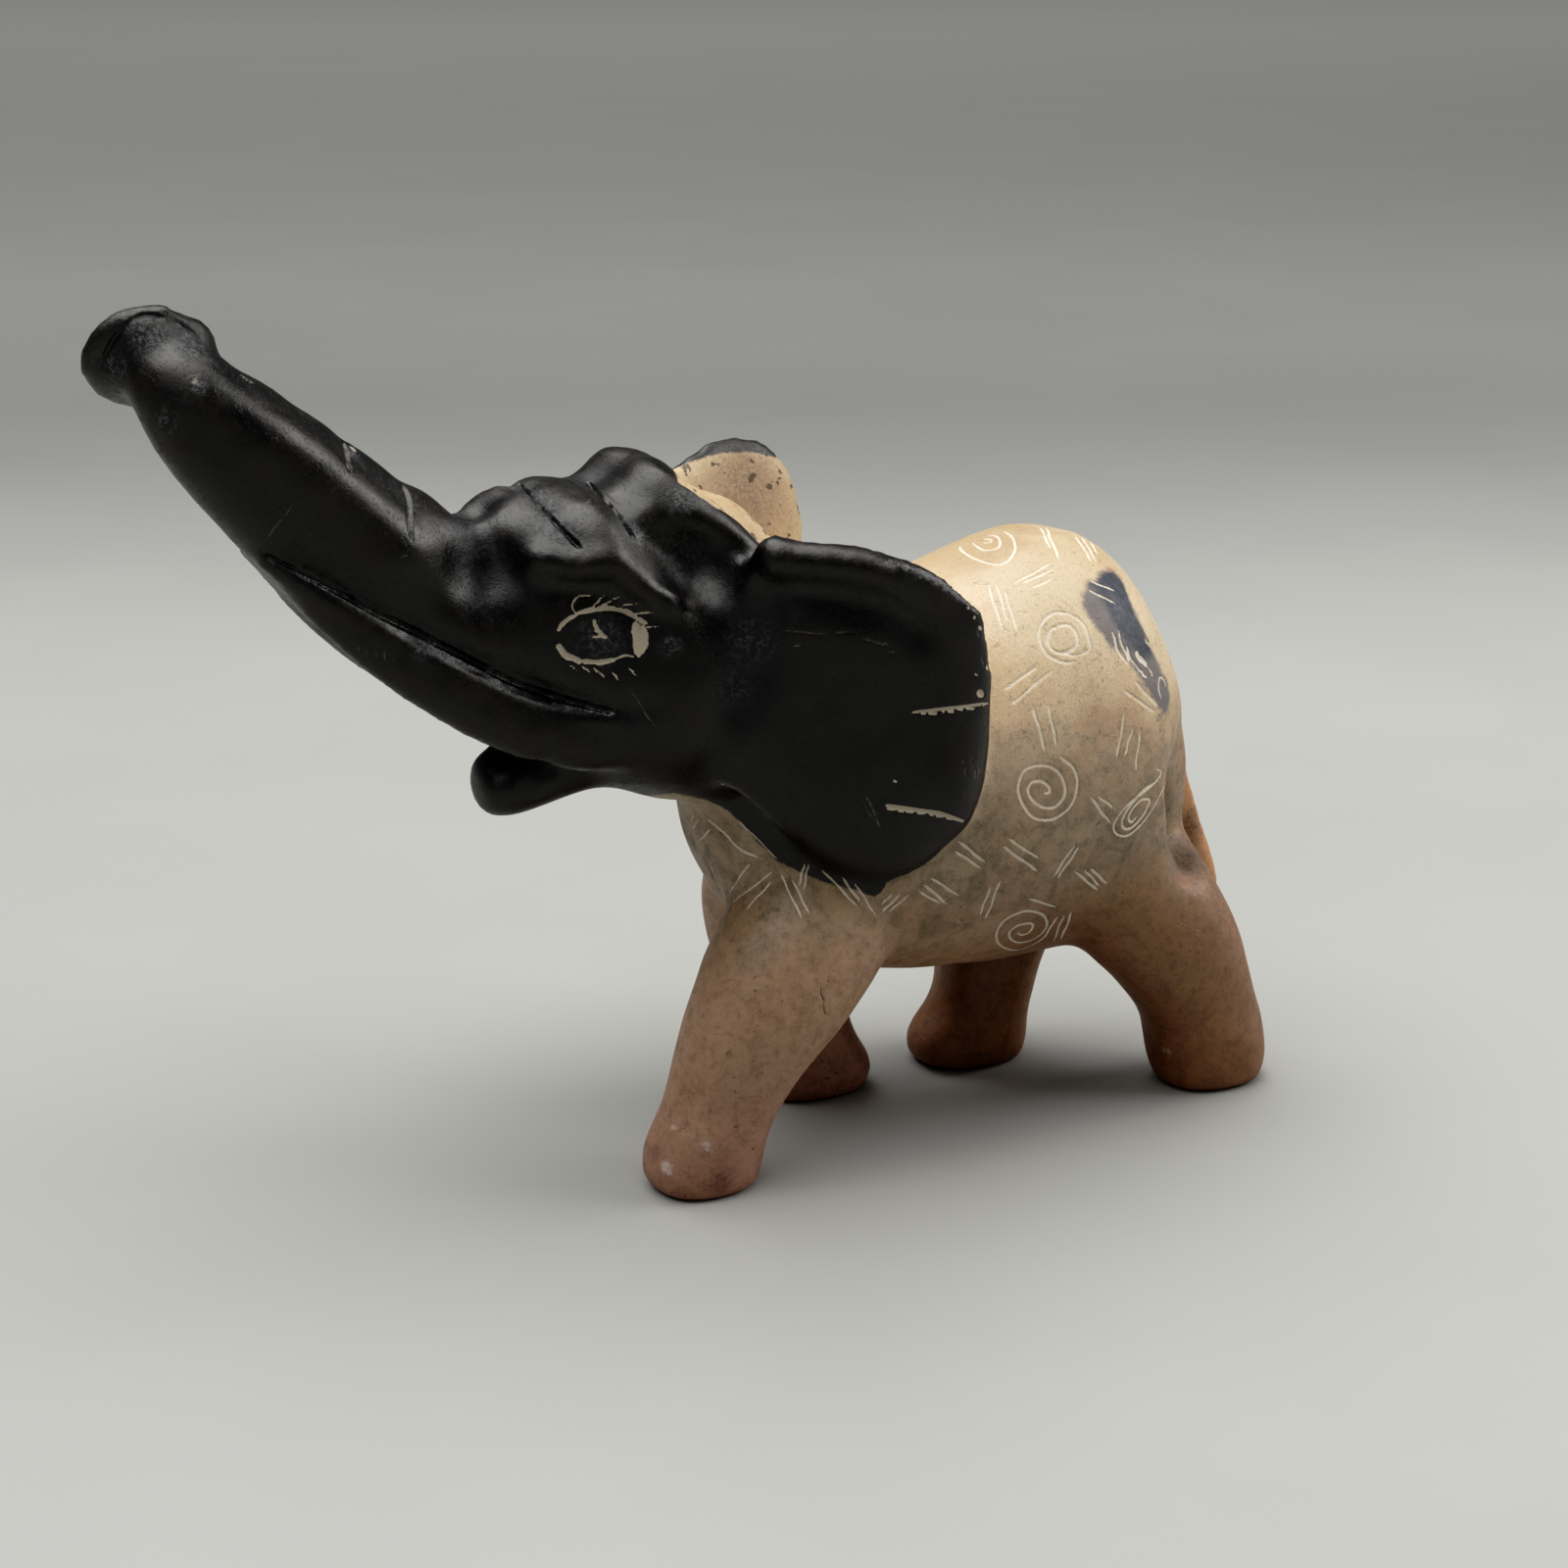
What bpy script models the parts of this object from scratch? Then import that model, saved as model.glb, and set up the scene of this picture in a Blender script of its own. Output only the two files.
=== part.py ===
# Carved soapstone elephant, standing with its trunk raised. One stone, one solid.
# The elephant faces -X, its left side is towards -Y, and its four soles stand on Z = 0.
# It is blocked out from lofted masses, which are fused, softened, carved and then thinned.

import math

import bmesh
import bpy
import numpy as np
from mathutils import Vector

LENGTH = 0.1935  # trunk tip to the back of the hind foot, metres
UNIT = LENGTH / 193.5  # all shapes below are drawn for a figure 193.5 units long

# Stance, in units
STANCE = 27.2  # from the middle of a left sole to the middle of a right one
EAR_HALF_THICKNESS = 3.4
FLANGE_RADIUS = 10.7  # the flared end of the trunk
FLANGE_HALF_THICKNESS = 3.1
TUSK_RADIUS = 5.2
TAIL_RADIUS = 3.0

# How finely the stone is worked, in units
GRAIN = 1.05  # voxel edge when the masses are fused
SOFTENING = 9  # rounds of smoothing, which fillet every junction
TRIANGLES = 8600  # faces that the finished solid keeps
RING_SIDES = 36
STEPS_BETWEEN = 4

ACROSS = Vector((0.0, 1.0, 0.0))
UPWARDS = Vector((0.0, 0.0, 1.0))
FORWARDS = Vector((-1.0, 0.0, 0.0))

# Barrel: place along X, top, bottom, half width
BARREL = [
    (-44.0, 72, 55, 6),
    (-42.2, 81, 48, 11),
    (-38, 88, 41, 17),
    (-32, 91, 35, 21.5),
    (-24, 92, 30, 25.0),
    (-12, 91.6, 27.2, 27.0),
    (0, 92.6, 26, 27.8),
    (12, 95.8, 25.6, 27.6),
    (21, 97.2, 25.8, 26.6),
    (28.5, 94.4, 26.5, 24.6),
    (34.5, 87.5, 28.5, 21.5),
    (39, 78.5, 31.5, 17.5),
    (42.0, 68, 36, 12.0),
    (43.4, 58, 42, 6),
]

# Head: place along X, middle height, half height, half width
HEAD = [
    (-20, 70, 12, 12),
    (-28, 76, 22, 18),
    (-37, 84, 25.5, 20.0),
    (-46, 87.2, 26.8, 21.0),
    (-55, 88.8, 26.2, 20.6),
    (-63, 89.6, 23.4, 19.0),
    (-71, 93.6, 18.6, 16.5),
    (-78, 98.0, 14.0, 13.0),
    (-82, 99.5, 9.0, 9.0),
]

# Trunk: middle line in X, Y and Z, half depth, half width
TRUNK = [
    (-62, 0, 88, 15, 12),
    (-76, 0, 92.5, 16.5, 13.4),
    (-84, 0, 96.5, 14.6, 12.6),
    (-91.5, 0, 101.4, 13.3, 11.8),
    (-99.9, 0, 107.9, 12.3, 10.8),
    (-108.8, 0, 116.8, 11.2, 10.0),
    (-116.2, 0.1, 124.0, 10.0, 9.0),
    (-121.4, 0.8, 129.4, 8.6, 7.8),
    (-124.4, 2.8, 132.8, 6.6, 6.2),
    (-125.2, 6.2, 134.2, 5.6, 5.2),
    (-125.0, 9.4, 134.8, 5.4, 5.0),
]
FLANGE_MIDDLE = (-125.2, 8.2, 135.5)
FLANGE_NORMAL = (0.10, 0.78, 0.62)

# Tusk on each side: X, distance from the middle plane, Z, share of the tusk's radius
TUSK = [
    (-57, 13.5, 76.0, 0.35),
    (-64, 12.6, 75.2, 0.85),
    (-72, 11.4, 77.0, 1.0),
    (-82, 9.8, 82.0, 1.0),
    (-92, 8.2, 88.4, 0.92),
    (-101, 6.8, 95.4, 0.78),
    (-108, 5.6, 102.2, 0.58),
    (-113.5, 5.0, 108.4, 0.3),
]

# Lower lip: X, Z, half depth, half width
LIP = [
    (-60, 70, 7, 8),
    (-67, 69.5, 6.6, 7.8),
    (-73, 68.4, 6.2, 7.2),
    (-78, 67.4, 5.6, 6.2),
    (-81, 67.0, 4.0, 4.4),
]

# Ear: X, distance from the middle plane, top, bottom, share of the ear's thickness
LEFT_EAR = [
    (-51, 15.0, 94, 72, 0.8),
    (-45, 19.0, 104.0, 66, 1.0),
    (-38, 22.6, 106.4, 58.5, 1.0),
    (-30, 25.6, 105.6, 53.2, 1.0),
    (-22, 27.8, 103.0, 51.2, 1.0),
    (-15.5, 29.0, 98.6, 54.5, 0.95),
    (-11.2, 29.6, 91.0, 61.5, 0.8),
    (-9.0, 29.8, 82.5, 70.0, 0.5),
]
RIGHT_EAR = [
    (-49, 15.0, 94, 72, 0.8),
    (-43.5, 19.0, 104.0, 66, 1.0),
    (-36, 22.6, 108.2, 58.5, 1.0),
    (-28, 25.6, 110.6, 53.2, 1.0),
    (-20, 27.8, 110.4, 51.2, 1.0),
    (-14.0, 29.0, 107.4, 54.5, 0.95),
    (-10.4, 29.6, 100.0, 61.5, 0.8),
    (-8.6, 29.8, 89.0, 70.0, 0.5),
]
EAR_LEAN = 0.075  # how far the ear leans outwards for each unit of height

# Legs: height, X, distance from the middle plane, half length, half width
NEAR_FORELEG = [
    (-2.5, -49.4, 13.6, 6.0, 5.6),
    (0.2, -49.4, 13.6, 9.0, 8.4),
    (4.5, -49.2, 13.6, 10.0, 9.2),
    (8.5, -48.0, 13.6, 9.7, 9.0),
    (13.0, -45.9, 13.8, 9.8, 8.9),
    (20.0, -42.2, 14.2, 11.6, 9.6),
    (29.0, -36.8, 14.6, 14.4, 11.0),
    (38.0, -31.6, 13.6, 15.2, 11.4),
    (48.0, -27.0, 11.4, 12.5, 10.4),
    (57.0, -24.0, 9.0, 9.0, 8.0),
]
FAR_FORELEG = [
    (-2.5, -15.6, 13.6, 6.6, 5.6),
    (0.2, -15.6, 13.6, 10.0, 8.4),
    (4.5, -15.6, 13.6, 10.8, 9.2),
    (8.5, -17.0, 13.6, 9.8, 9.0),
    (13.0, -18.6, 13.8, 9.6, 8.9),
    (20.0, -20.6, 14.0, 10.4, 9.6),
    (29.0, -22.4, 13.8, 11.6, 10.6),
    (38.0, -23.0, 13.0, 12.2, 11.0),
    (48.0, -22.0, 11.2, 11.4, 10.4),
    (57.0, -21.0, 9.0, 9.0, 8.0),
]
NEAR_HINDLEG = [
    (-2.5, 47.8, 13.6, 6.4, 5.6),
    (0.2, 47.8, 13.6, 9.4, 8.4),
    (4.5, 47.6, 13.6, 10.6, 9.4),
    (9.0, 46.9, 13.6, 10.6, 9.6),
    (14.0, 45.2, 13.8, 10.8, 9.4),
    (21.0, 41.0, 14.0, 12.4, 10.0),
    (29.0, 36.0, 14.0, 15.0, 11.0),
    (38.0, 31.0, 13.0, 15.2, 11.4),
    (48.0, 27.6, 11.2, 12.8, 10.4),
    (57.0, 25.0, 9.0, 9.5, 8.0),
]
FAR_HINDLEG = [
    (-2.5, 15.6, 13.6, 7.0, 5.6),
    (0.2, 15.4, 13.6, 10.4, 8.4),
    (4.5, 15.4, 13.6, 11.2, 9.0),
    (8.0, 16.8, 13.6, 9.6, 8.7),
    (12.0, 18.8, 13.8, 8.8, 8.6),
    (19.0, 20.0, 14.0, 9.6, 9.4),
    (28.0, 22.5, 14.2, 12.0, 10.6),
    (38.0, 25.5, 13.0, 14.6, 11.4),
    (48.0, 26.5, 11.2, 12.8, 10.4),
    (57.0, 25.0, 9.0, 9.5, 8.0),
]
LEGS = {
    "left foreleg": (NEAR_FORELEG, -1),
    "right foreleg": (FAR_FORELEG, 1),
    "left hind leg": (NEAR_HINDLEG, -1),
    "right hind leg": (FAR_HINDLEG, 1),
}
LEG_SPREAD = 13.6  # the distance from the middle plane that the leg tables are drawn for

# Tail and its ridge: X, Z, share of the tail's radius
TAIL = [
    (26.5, 91.5, 0.5),
    (33.2, 85.4, 0.75),
    (38.0, 76.5, 0.95),
    (41.6, 67.0, 1.0),
    (45.2, 58.0, 1.0),
    (48.6, 48.5, 1.0),
    (51.2, 41.0, 1.05),
    (53.6, 34.4, 1.1),
    (55.6, 28.8, 1.0),
    (56.2, 26.2, 0.5),
]
TAIL_WEB_DEPTH = 7.0  # stone left between the tail and the rump

# Rounded swellings and hollows: X, distance from the middle plane, Z, radius, height.
# Each is made on both sides of the middle plane.
SWELLINGS = [
    (-47.4, 8.8, 113.2, 8.5, 3.2),  # domes of the crown
    (-69.0, 7.5, 112.5, 8.0, 1.8),  # brow above the eye
    (-65.0, 14.5, 106.0, 6.5, 2.4),  # outer brow
    (-57.0, 18.5, 101.0, 5.0, 1.6),  # ridge behind the eye
    (-52.0, 19.0, 76.0, 9.0, 1.2),  # jowl
    (-40.0, 17.0, 108.5, 6.0, 1.2),  # root of the ear
    (14.0, 12.0, 94.0, 16.0, 0.8),  # hips
    (44.5, 16.0, 54.0, 12.0, 1.2),  # rump
]
HOLLOWS = [
    (-66.5, 17.5, 93.5, 8.5, 1.6),  # eye socket
    (-53.0, 17.5, 104.0, 6.5, 3.0),  # temple
    (-80.5, 0.0, 113.0, 4.5, 2.6),  # notch where trunk meets brow
    (-82.5, 10.0, 104.5, 5.0, 2.2),  # side of that notch
    (-58.5, 0.0, 114.0, 5.0, 1.2),  # dip between brow and crown
    (-46.0, 0.0, 117.0, 4.0, 1.2),  # valley between the two domes
    (-24.0, 33.0, 80.0, 12.0, 1.0),  # dish of the ear
]

# Creases: a point on the top of the trunk or brow, the tilt of the cut away from upright,
# how far down the sides it runs, depth, and half width
CREASES = [
    (-71.4, 113.0, 0.0, 7.5, 1.8, 0.9),
    (-61.8, 113.4, -4.0, 8.0, 2.0, 0.9),
    (-91.8, 116.4, -22.0, 8.5, 1.6, 0.8),
    (-100.4, 122.0, -30.0, 4.5, 1.3, 0.8),
    (-114.6, 134.4, -36.0, 3.5, 1.0, 0.7),
]
# Grooves down both sides: a line of X and Z, depth, and half width
GROOVES = [
    # above the tusk
    (
        [(-108.5, 109.2), (-97.5, 97.4), (-87.2, 90.0), (-74.5, 83.2), (-65, 81.2), (-59, 82)],
        1.3,
        1.7,
    ),
    # in front of the ear
    ([(-43, 99), (-42.4, 93), (-44, 85.4), (-46.6, 78), (-49, 72), (-51.6, 69.4)], 1.2, 2.0),
]
CREASE_PITCH = 0.2  # how far a crease moves back for each unit down the side


def smooth_stations(stations):
    """Catmull-Rom curve through rows of numbers, with STEPS_BETWEEN rows from one to the next."""
    rows = [np.array(row, float) for row in stations]
    rows = [2 * rows[0] - rows[1]] + rows + [2 * rows[-1] - rows[-2]]
    found = []
    for before, start, end, after in zip(rows, rows[1:], rows[2:], rows[3:]):
        for step in range(STEPS_BETWEEN):
            t = step / STEPS_BETWEEN
            found.append(
                0.5
                * (
                    2 * start
                    + (end - before) * t
                    + (2 * before - 5 * start + 4 * end - after) * t**2
                    + (3 * start - before - 3 * end + after) * t**3
                )
            )
    found.append(rows[-2])
    return found


def loft(mesh, rings, squareness=2.0):
    """Skins closed rings, each (middle, half-axis, half-axis), and closes both ends."""
    power = 2.0 / squareness
    loops = []
    for middle, side, rise in rings:
        loop = []
        for step in range(RING_SIDES):
            angle = math.tau * step / RING_SIDES
            c, s = math.cos(angle), math.sin(angle)
            along_side = math.copysign(abs(c) ** power, c)
            along_rise = math.copysign(abs(s) ** power, s)
            point = middle + side * along_side + rise * along_rise
            loop.append(mesh.verts.new(point * UNIT))
        loops.append(loop)
    for lower, upper in zip(loops, loops[1:]):
        for step in range(RING_SIDES):
            after = (step + 1) % RING_SIDES
            mesh.faces.new((lower[step], lower[after], upper[after], upper[step]))
    mesh.faces.new(loops[0][::-1])
    mesh.faces.new(loops[-1])


def add_barrel(mesh):
    rings = []
    for x, top, bottom, half_width in smooth_stations(BARREL):
        middle = Vector((x, 0, (top + bottom) / 2))
        rings.append((middle, ACROSS * half_width, UPWARDS * (top - bottom) / 2))
    loft(mesh, rings, squareness=2.3)


def add_head(mesh):
    rings = []
    for x, z, half_height, half_width in smooth_stations(HEAD):
        rings.append((Vector((x, 0, z)), ACROSS * half_width, UPWARDS * half_height))
    loft(mesh, rings, squareness=2.2)


def rings_along(points, half_depths, half_widths):
    """Rings square to a line of points, with their width kept as near to ACROSS as they can be."""
    rings = []
    last = len(points) - 1
    for i, point in enumerate(points):
        run = points[min(i + 1, last)] - points[max(i - 1, 0)]
        run.normalize()
        side = (ACROSS - run * ACROSS.dot(run)).normalized()
        rings.append((point, side * half_widths[i], run.cross(side) * half_depths[i]))
    return rings


def add_trunk(mesh):
    rows = smooth_stations(TRUNK)
    points = [Vector(row[:3]) for row in rows]
    loft(mesh, rings_along(points, [r[3] for r in rows], [r[4] for r in rows]))


def add_flange(mesh):
    """Flared end of the trunk: a thick disc with a round rim."""
    middle = Vector(FLANGE_MIDDLE)
    normal = Vector(FLANGE_NORMAL).normalized()
    side = normal.cross(ACROSS).normalized()
    rise = normal.cross(side)
    rings = []
    for step in range(1, 16):
        angle = math.pi * step / 16
        radius = FLANGE_RADIUS * (0.5 + 0.5 * math.sin(angle))
        height = -FLANGE_HALF_THICKNESS * math.cos(angle)
        rings.append((middle + normal * height, side * radius, rise * radius))
    loft(mesh, rings)


def add_tusk(mesh, hand):
    rows = smooth_stations(TUSK)
    points = [Vector((x, hand * y, z)) for x, y, z, _ in rows]
    radii = [TUSK_RADIUS * share for *_, share in rows]
    loft(mesh, rings_along(points, radii, [0.8 * r for r in radii]))


def add_lip(mesh):
    rings = []
    for x, z, half_depth, half_width in smooth_stations(LIP):
        rings.append((Vector((x, 0, z)), ACROSS * half_width, UPWARDS * half_depth))
    loft(mesh, rings)


def add_ear(mesh, stations, hand):
    rings = []
    for x, y, top, bottom, share in smooth_stations(stations):
        half_height = (top - bottom) / 2
        thickness = EAR_HALF_THICKNESS * share
        lean = Vector((0, hand * EAR_LEAN * half_height, half_height))
        middle = Vector((x, hand * y, (top + bottom) / 2))
        rings.append((middle, ACROSS * thickness, lean))
    loft(mesh, rings, squareness=2.8)


def add_leg(mesh, stations, hand):
    widen = STANCE / 2 - LEG_SPREAD
    rings = []
    for z, x, y, half_length, half_width in smooth_stations(stations):
        middle = Vector((x, hand * (y + widen), z))
        rings.append((middle, FORWARDS * half_length, ACROSS * half_width))
    loft(mesh, rings, squareness=2.3)


def add_tail(mesh):
    rows = smooth_stations(TAIL)
    points = [Vector((x, 0, z)) for x, z, _ in rows]
    radii = [TAIL_RADIUS * share for *_, share in rows]
    loft(mesh, rings_along(points, radii, radii))
    web = [p - Vector((TAIL_WEB_DEPTH * 0.75, 0, -1.0)) for p in points]
    half_depths = [TAIL_WEB_DEPTH] * len(web)
    loft(mesh, rings_along(web, half_depths, [0.75 * r for r in radii]))


def block_out():
    """All the masses as one mesh of overlapping closed shells."""
    mesh = bmesh.new()
    add_barrel(mesh)
    add_head(mesh)
    add_trunk(mesh)
    add_flange(mesh)
    add_lip(mesh)
    for hand in (-1, 1):
        add_tusk(mesh, hand)
    add_ear(mesh, LEFT_EAR, -1)
    add_ear(mesh, RIGHT_EAR, 1)
    for stations, hand in LEGS.values():
        add_leg(mesh, stations, hand)
    add_tail(mesh)
    bmesh.ops.recalc_face_normals(mesh, faces=mesh.faces)
    data = bpy.data.meshes.new("blocked out")
    mesh.to_mesh(data)
    mesh.free()
    return data


def with_modifiers(data, *settings):
    """The mesh that these modifiers make of data. Each is (type, {property: value})."""
    helper = bpy.data.objects.new("helper", data)
    bpy.context.scene.collection.objects.link(helper)
    for kind, values in settings:
        modifier = helper.modifiers.new(kind.title(), kind)
        for name, value in values.items():
            setattr(modifier, name, value)
    bpy.context.view_layer.update()
    graph = bpy.context.evaluated_depsgraph_get()
    made = bpy.data.meshes.new_from_object(helper.evaluated_get(graph))
    bpy.data.objects.remove(helper)
    bpy.data.meshes.remove(data)
    return made


def fuse(data):
    fused = ("REMESH", {"mode": "VOXEL", "voxel_size": GRAIN * UNIT})
    softened = ("SMOOTH", {"factor": 0.5, "iterations": SOFTENING})
    return with_modifiers(data, fused, softened)


def bump(distance, radius):
    """A smooth hill: 1 at no distance, 0 at the radius and beyond."""
    share = np.clip(1.0 - (distance / radius) ** 2, 0.0, 1.0)
    return share**2


def line_distance(x, z, line):
    """How far each (x, z) is from a line of points, seen from the side."""
    nearest = np.full(len(x), np.inf)
    for (x0, z0), (x1, z1) in zip(line, line[1:]):
        run_x, run_z = x1 - x0, z1 - z0
        share = ((x - x0) * run_x + (z - z0) * run_z) / (run_x**2 + run_z**2)
        share = np.clip(share, 0.0, 1.0)
        off = np.hypot(x - x0 - share * run_x, z - z0 - share * run_z)
        nearest = np.minimum(nearest, off)
    return nearest


def carve(data):
    """Swells, hollows and creases, as moves along the surface normals."""
    count = len(data.vertices)
    places = np.empty(count * 3, np.float32)
    data.vertices.foreach_get("co", places)
    places = places.reshape(-1, 3).astype(float) / UNIT
    normals = np.array([v.normal for v in data.vertices], float)
    x, y, z = places.T
    lift = np.zeros(count)
    for rows, sign in ((SWELLINGS, 1.0), (HOLLOWS, -1.0)):
        for at_x, at_y, at_z, radius, height in rows:
            distance = np.sqrt((x - at_x) ** 2 + (abs(y) - at_y) ** 2 + (z - at_z) ** 2)
            lift += sign * height * bump(distance, 1.6 * radius)
    for at_x, at_z, tilt, reach, depth, half_width in CREASES:
        slope = math.radians(tilt)
        down = (x - at_x) * math.sin(slope) - (z - at_z) * math.cos(slope)
        off = (x - at_x) * math.cos(slope) + (z - at_z) * math.sin(slope)
        off -= CREASE_PITCH * np.maximum(down, 0.0)
        fade = np.clip(1.0 - (down / reach) ** 2, 0.0, 1.0)
        lift -= depth * fade * np.exp(-((off / half_width) ** 2))
    for line, depth, half_width in GROOVES:
        off = line_distance(x, z, line)
        lift -= depth * np.exp(-((off / half_width) ** 2)) * normals[:, 1] ** 2
    places += normals * lift[:, None]
    data.vertices.foreach_set("co", (places * UNIT).astype(np.float32).ravel())
    data.update()


def thin(data):
    """Collapses edges until TRIANGLES faces are left, most of them where the stone bends."""
    faces = sum(len(p.vertices) - 2 for p in data.polygons)
    ratio = TRIANGLES / faces
    return with_modifiers(
        data, ("DECIMATE", {"decimate_type": "COLLAPSE", "ratio": ratio})
    )


def rub_soles(data):
    """Cuts the feet off flat at Z = 0 and fills the soles."""
    mesh = bmesh.new()
    mesh.from_mesh(data)
    everything = mesh.verts[:] + mesh.edges[:] + mesh.faces[:]
    bmesh.ops.bisect_plane(
        mesh,
        geom=everything,
        dist=0.02 * UNIT,
        plane_co=(0, 0, 0),
        plane_no=(0, 0, 1),
        clear_inner=True,
    )
    rims = [e for e in mesh.edges if e.is_boundary]
    bmesh.ops.holes_fill(mesh, edges=rims)
    for vert in mesh.verts:
        if abs(vert.co.z) < 0.03 * UNIT:
            vert.co.z = 0.0
    bmesh.ops.triangulate(mesh, faces=mesh.faces)
    bmesh.ops.recalc_face_normals(mesh, faces=mesh.faces)
    mesh.to_mesh(data)
    mesh.free()


def centre(data):
    """Puts the origin on the floor under the middle of the figure's box."""
    low = [min(v.co[axis] for v in data.vertices) for axis in range(3)]
    high = [max(v.co[axis] for v in data.vertices) for axis in range(3)]
    middle = Vector(((low[0] + high[0]) / 2, (low[1] + high[1]) / 2, low[2]))
    print("box before centring, in units", [round(v / UNIT, 3) for v in low + high])
    for vert in data.vertices:
        vert.co -= middle


def soapstone():
    material = bpy.data.materials.new("soapstone")
    material.use_nodes = True
    shader = material.node_tree.nodes["Principled BSDF"]
    shader.inputs["Base Color"].default_value = (0.47, 0.34, 0.23, 1.0)
    shader.inputs["Roughness"].default_value = 0.4
    shader.inputs["Metallic"].default_value = 0.0
    return material


def clear_scene():
    for thing in list(bpy.data.objects):
        bpy.data.objects.remove(thing, do_unlink=True)


def main():
    clear_scene()
    data = fuse(block_out())
    carve(data)
    data = thin(data)
    rub_soles(data)
    centre(data)
    data.name = "elephant"
    data.materials.clear()
    data.materials.append(soapstone())
    data.shade_smooth()
    elephant = bpy.data.objects.new("elephant", data)
    bpy.context.scene.collection.objects.link(elephant)


main()
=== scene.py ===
# %% [markdown]
# # A carved soapstone elephant
# The real figure is one block of soft stone. A carver sawed it roughly to shape, cut the
# forms with a knife and rasp, and rubbed it smooth under water. Part of it was then dyed
# black, and fine patterns were scratched through to the paler stone.
# A model of it needs three things: the true form, small real cuts in that form, and a
# finish that knows where the dye lies. We begin with the form, which comes from the frame.

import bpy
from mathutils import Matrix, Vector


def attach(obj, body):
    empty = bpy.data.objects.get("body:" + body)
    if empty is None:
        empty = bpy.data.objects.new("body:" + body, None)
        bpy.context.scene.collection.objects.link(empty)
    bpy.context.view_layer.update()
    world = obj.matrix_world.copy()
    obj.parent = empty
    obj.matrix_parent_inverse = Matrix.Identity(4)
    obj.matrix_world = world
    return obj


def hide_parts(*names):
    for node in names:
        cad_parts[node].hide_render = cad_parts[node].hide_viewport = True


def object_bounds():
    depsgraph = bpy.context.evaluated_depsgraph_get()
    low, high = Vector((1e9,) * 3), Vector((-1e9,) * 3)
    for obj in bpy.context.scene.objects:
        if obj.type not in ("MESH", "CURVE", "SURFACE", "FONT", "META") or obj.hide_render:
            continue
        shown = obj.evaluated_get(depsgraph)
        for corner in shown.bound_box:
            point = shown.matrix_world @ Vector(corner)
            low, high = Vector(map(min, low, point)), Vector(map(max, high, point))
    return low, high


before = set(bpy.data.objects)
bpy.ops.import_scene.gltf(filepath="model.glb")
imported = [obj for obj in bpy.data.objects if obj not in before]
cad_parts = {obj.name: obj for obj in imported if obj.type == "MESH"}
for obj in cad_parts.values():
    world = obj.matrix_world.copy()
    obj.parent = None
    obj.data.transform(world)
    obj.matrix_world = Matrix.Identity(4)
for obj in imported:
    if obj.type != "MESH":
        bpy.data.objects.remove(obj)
cad_low, cad_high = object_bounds()
print("box of the solid in mm:", [round(1000 * v, 1) for v in (*cad_low, *cad_high)])

# %% Tools that the lesson needs
import math

import bmesh
import bpy
import numpy as np
from mathutils import Matrix, Vector
from mathutils.bvhtree import BVHTree
from mathutils.kdtree import KDTree

MM = 0.001  # every length below is written in millimetres and multiplied by this

# %% [markdown]
# ## The camera
# The figure was looked at from its front left, from a little above, and from about half a
# metre away. A camera can be placed by eye, or solved from known points of the object.
# Here it was solved, so that a place seen in the picture can be found on the stone later.
# Its arrows right, up and back are kept for that.

# %% Place the camera
TURN, TILT = math.radians(-27), math.radians(17.5)
LENS, FILM = 72, 36
VIEW_SIZE = 1600
eye_point = Vector((-0.208468, -0.431062, 0.212519))
right = Vector((math.cos(TURN), math.sin(TURN), 0))
back = Vector(
    (math.sin(TURN) * math.cos(TILT), -math.cos(TURN) * math.cos(TILT), math.sin(TILT))
)
up = back.cross(right)

camera = bpy.data.objects.new("camera", bpy.data.cameras.new("camera"))
camera.data.lens, camera.data.sensor_width = LENS, FILM
camera.data.clip_start = 0.01
turned = Matrix((right, up, back)).transposed().to_4x4()
camera.matrix_world = Matrix.Translation(eye_point) @ turned
bpy.context.scene.collection.objects.link(camera)
bpy.context.scene.camera = camera
print("camera stands", round(eye_point.length, 3), "m from the middle of the floor")

# %% [markdown]
# ## Small helpers for node materials
# A finish is a graph of nodes. Written out in full it is long and hard to read, so a few
# short helpers do the typing: they add a node, do a sum or blend two colours.

# %% Helpers for nodes
def put(tree, kind, sockets=None, **settings):
    """Adds a node, sets its options, and fills or links its sockets."""
    node = tree.nodes.new(kind)
    for key, value in settings.items():
        setattr(node, key, value)
    for key, value in (sockets or {}).items():
        if isinstance(value, bpy.types.NodeSocket):
            tree.links.new(value, node.inputs[key])
        else:
            node.inputs[key].default_value = value
    return node


def calc(tree, operation, *values):
    """One sum, such as MULTIPLY or MAXIMUM, on numbers or sockets."""
    sums = dict(enumerate(values))
    return put(tree, "ShaderNodeMath", sums, operation=operation).outputs[0]


def step(tree, value, start, end, low=0.0, high=1.0):
    """Goes smoothly from low to high while value goes from start to end."""
    sockets = {0: value, 1: start, 2: end, 3: low, 4: high}
    kind = "ShaderNodeMapRange"
    return put(tree, kind, sockets, interpolation_type="SMOOTHSTEP").outputs[0]


def blend(tree, share, first, second, how="MIX"):
    """Blends two colours, each a socket or three numbers."""
    first, second = [(*c, 1.0) if isinstance(c, tuple) else c for c in (first, second)]
    sockets = {0: share, 6: first, 7: second}
    node = put(tree, "ShaderNodeMix", sockets, data_type="RGBA", blend_type=how)
    return node.outputs[2]


def noise(tree, place, scale, detail=4.0, roughness=0.55, stretch=0.0):
    """Cloudy noise between 0 and 1, centred on a half."""
    sockets = {"Vector": place, "Scale": scale, "Detail": detail, "Roughness": roughness}
    sockets["Distortion"] = stretch
    return put(tree, "ShaderNodeTexNoise", sockets).outputs["Fac"]


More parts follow.
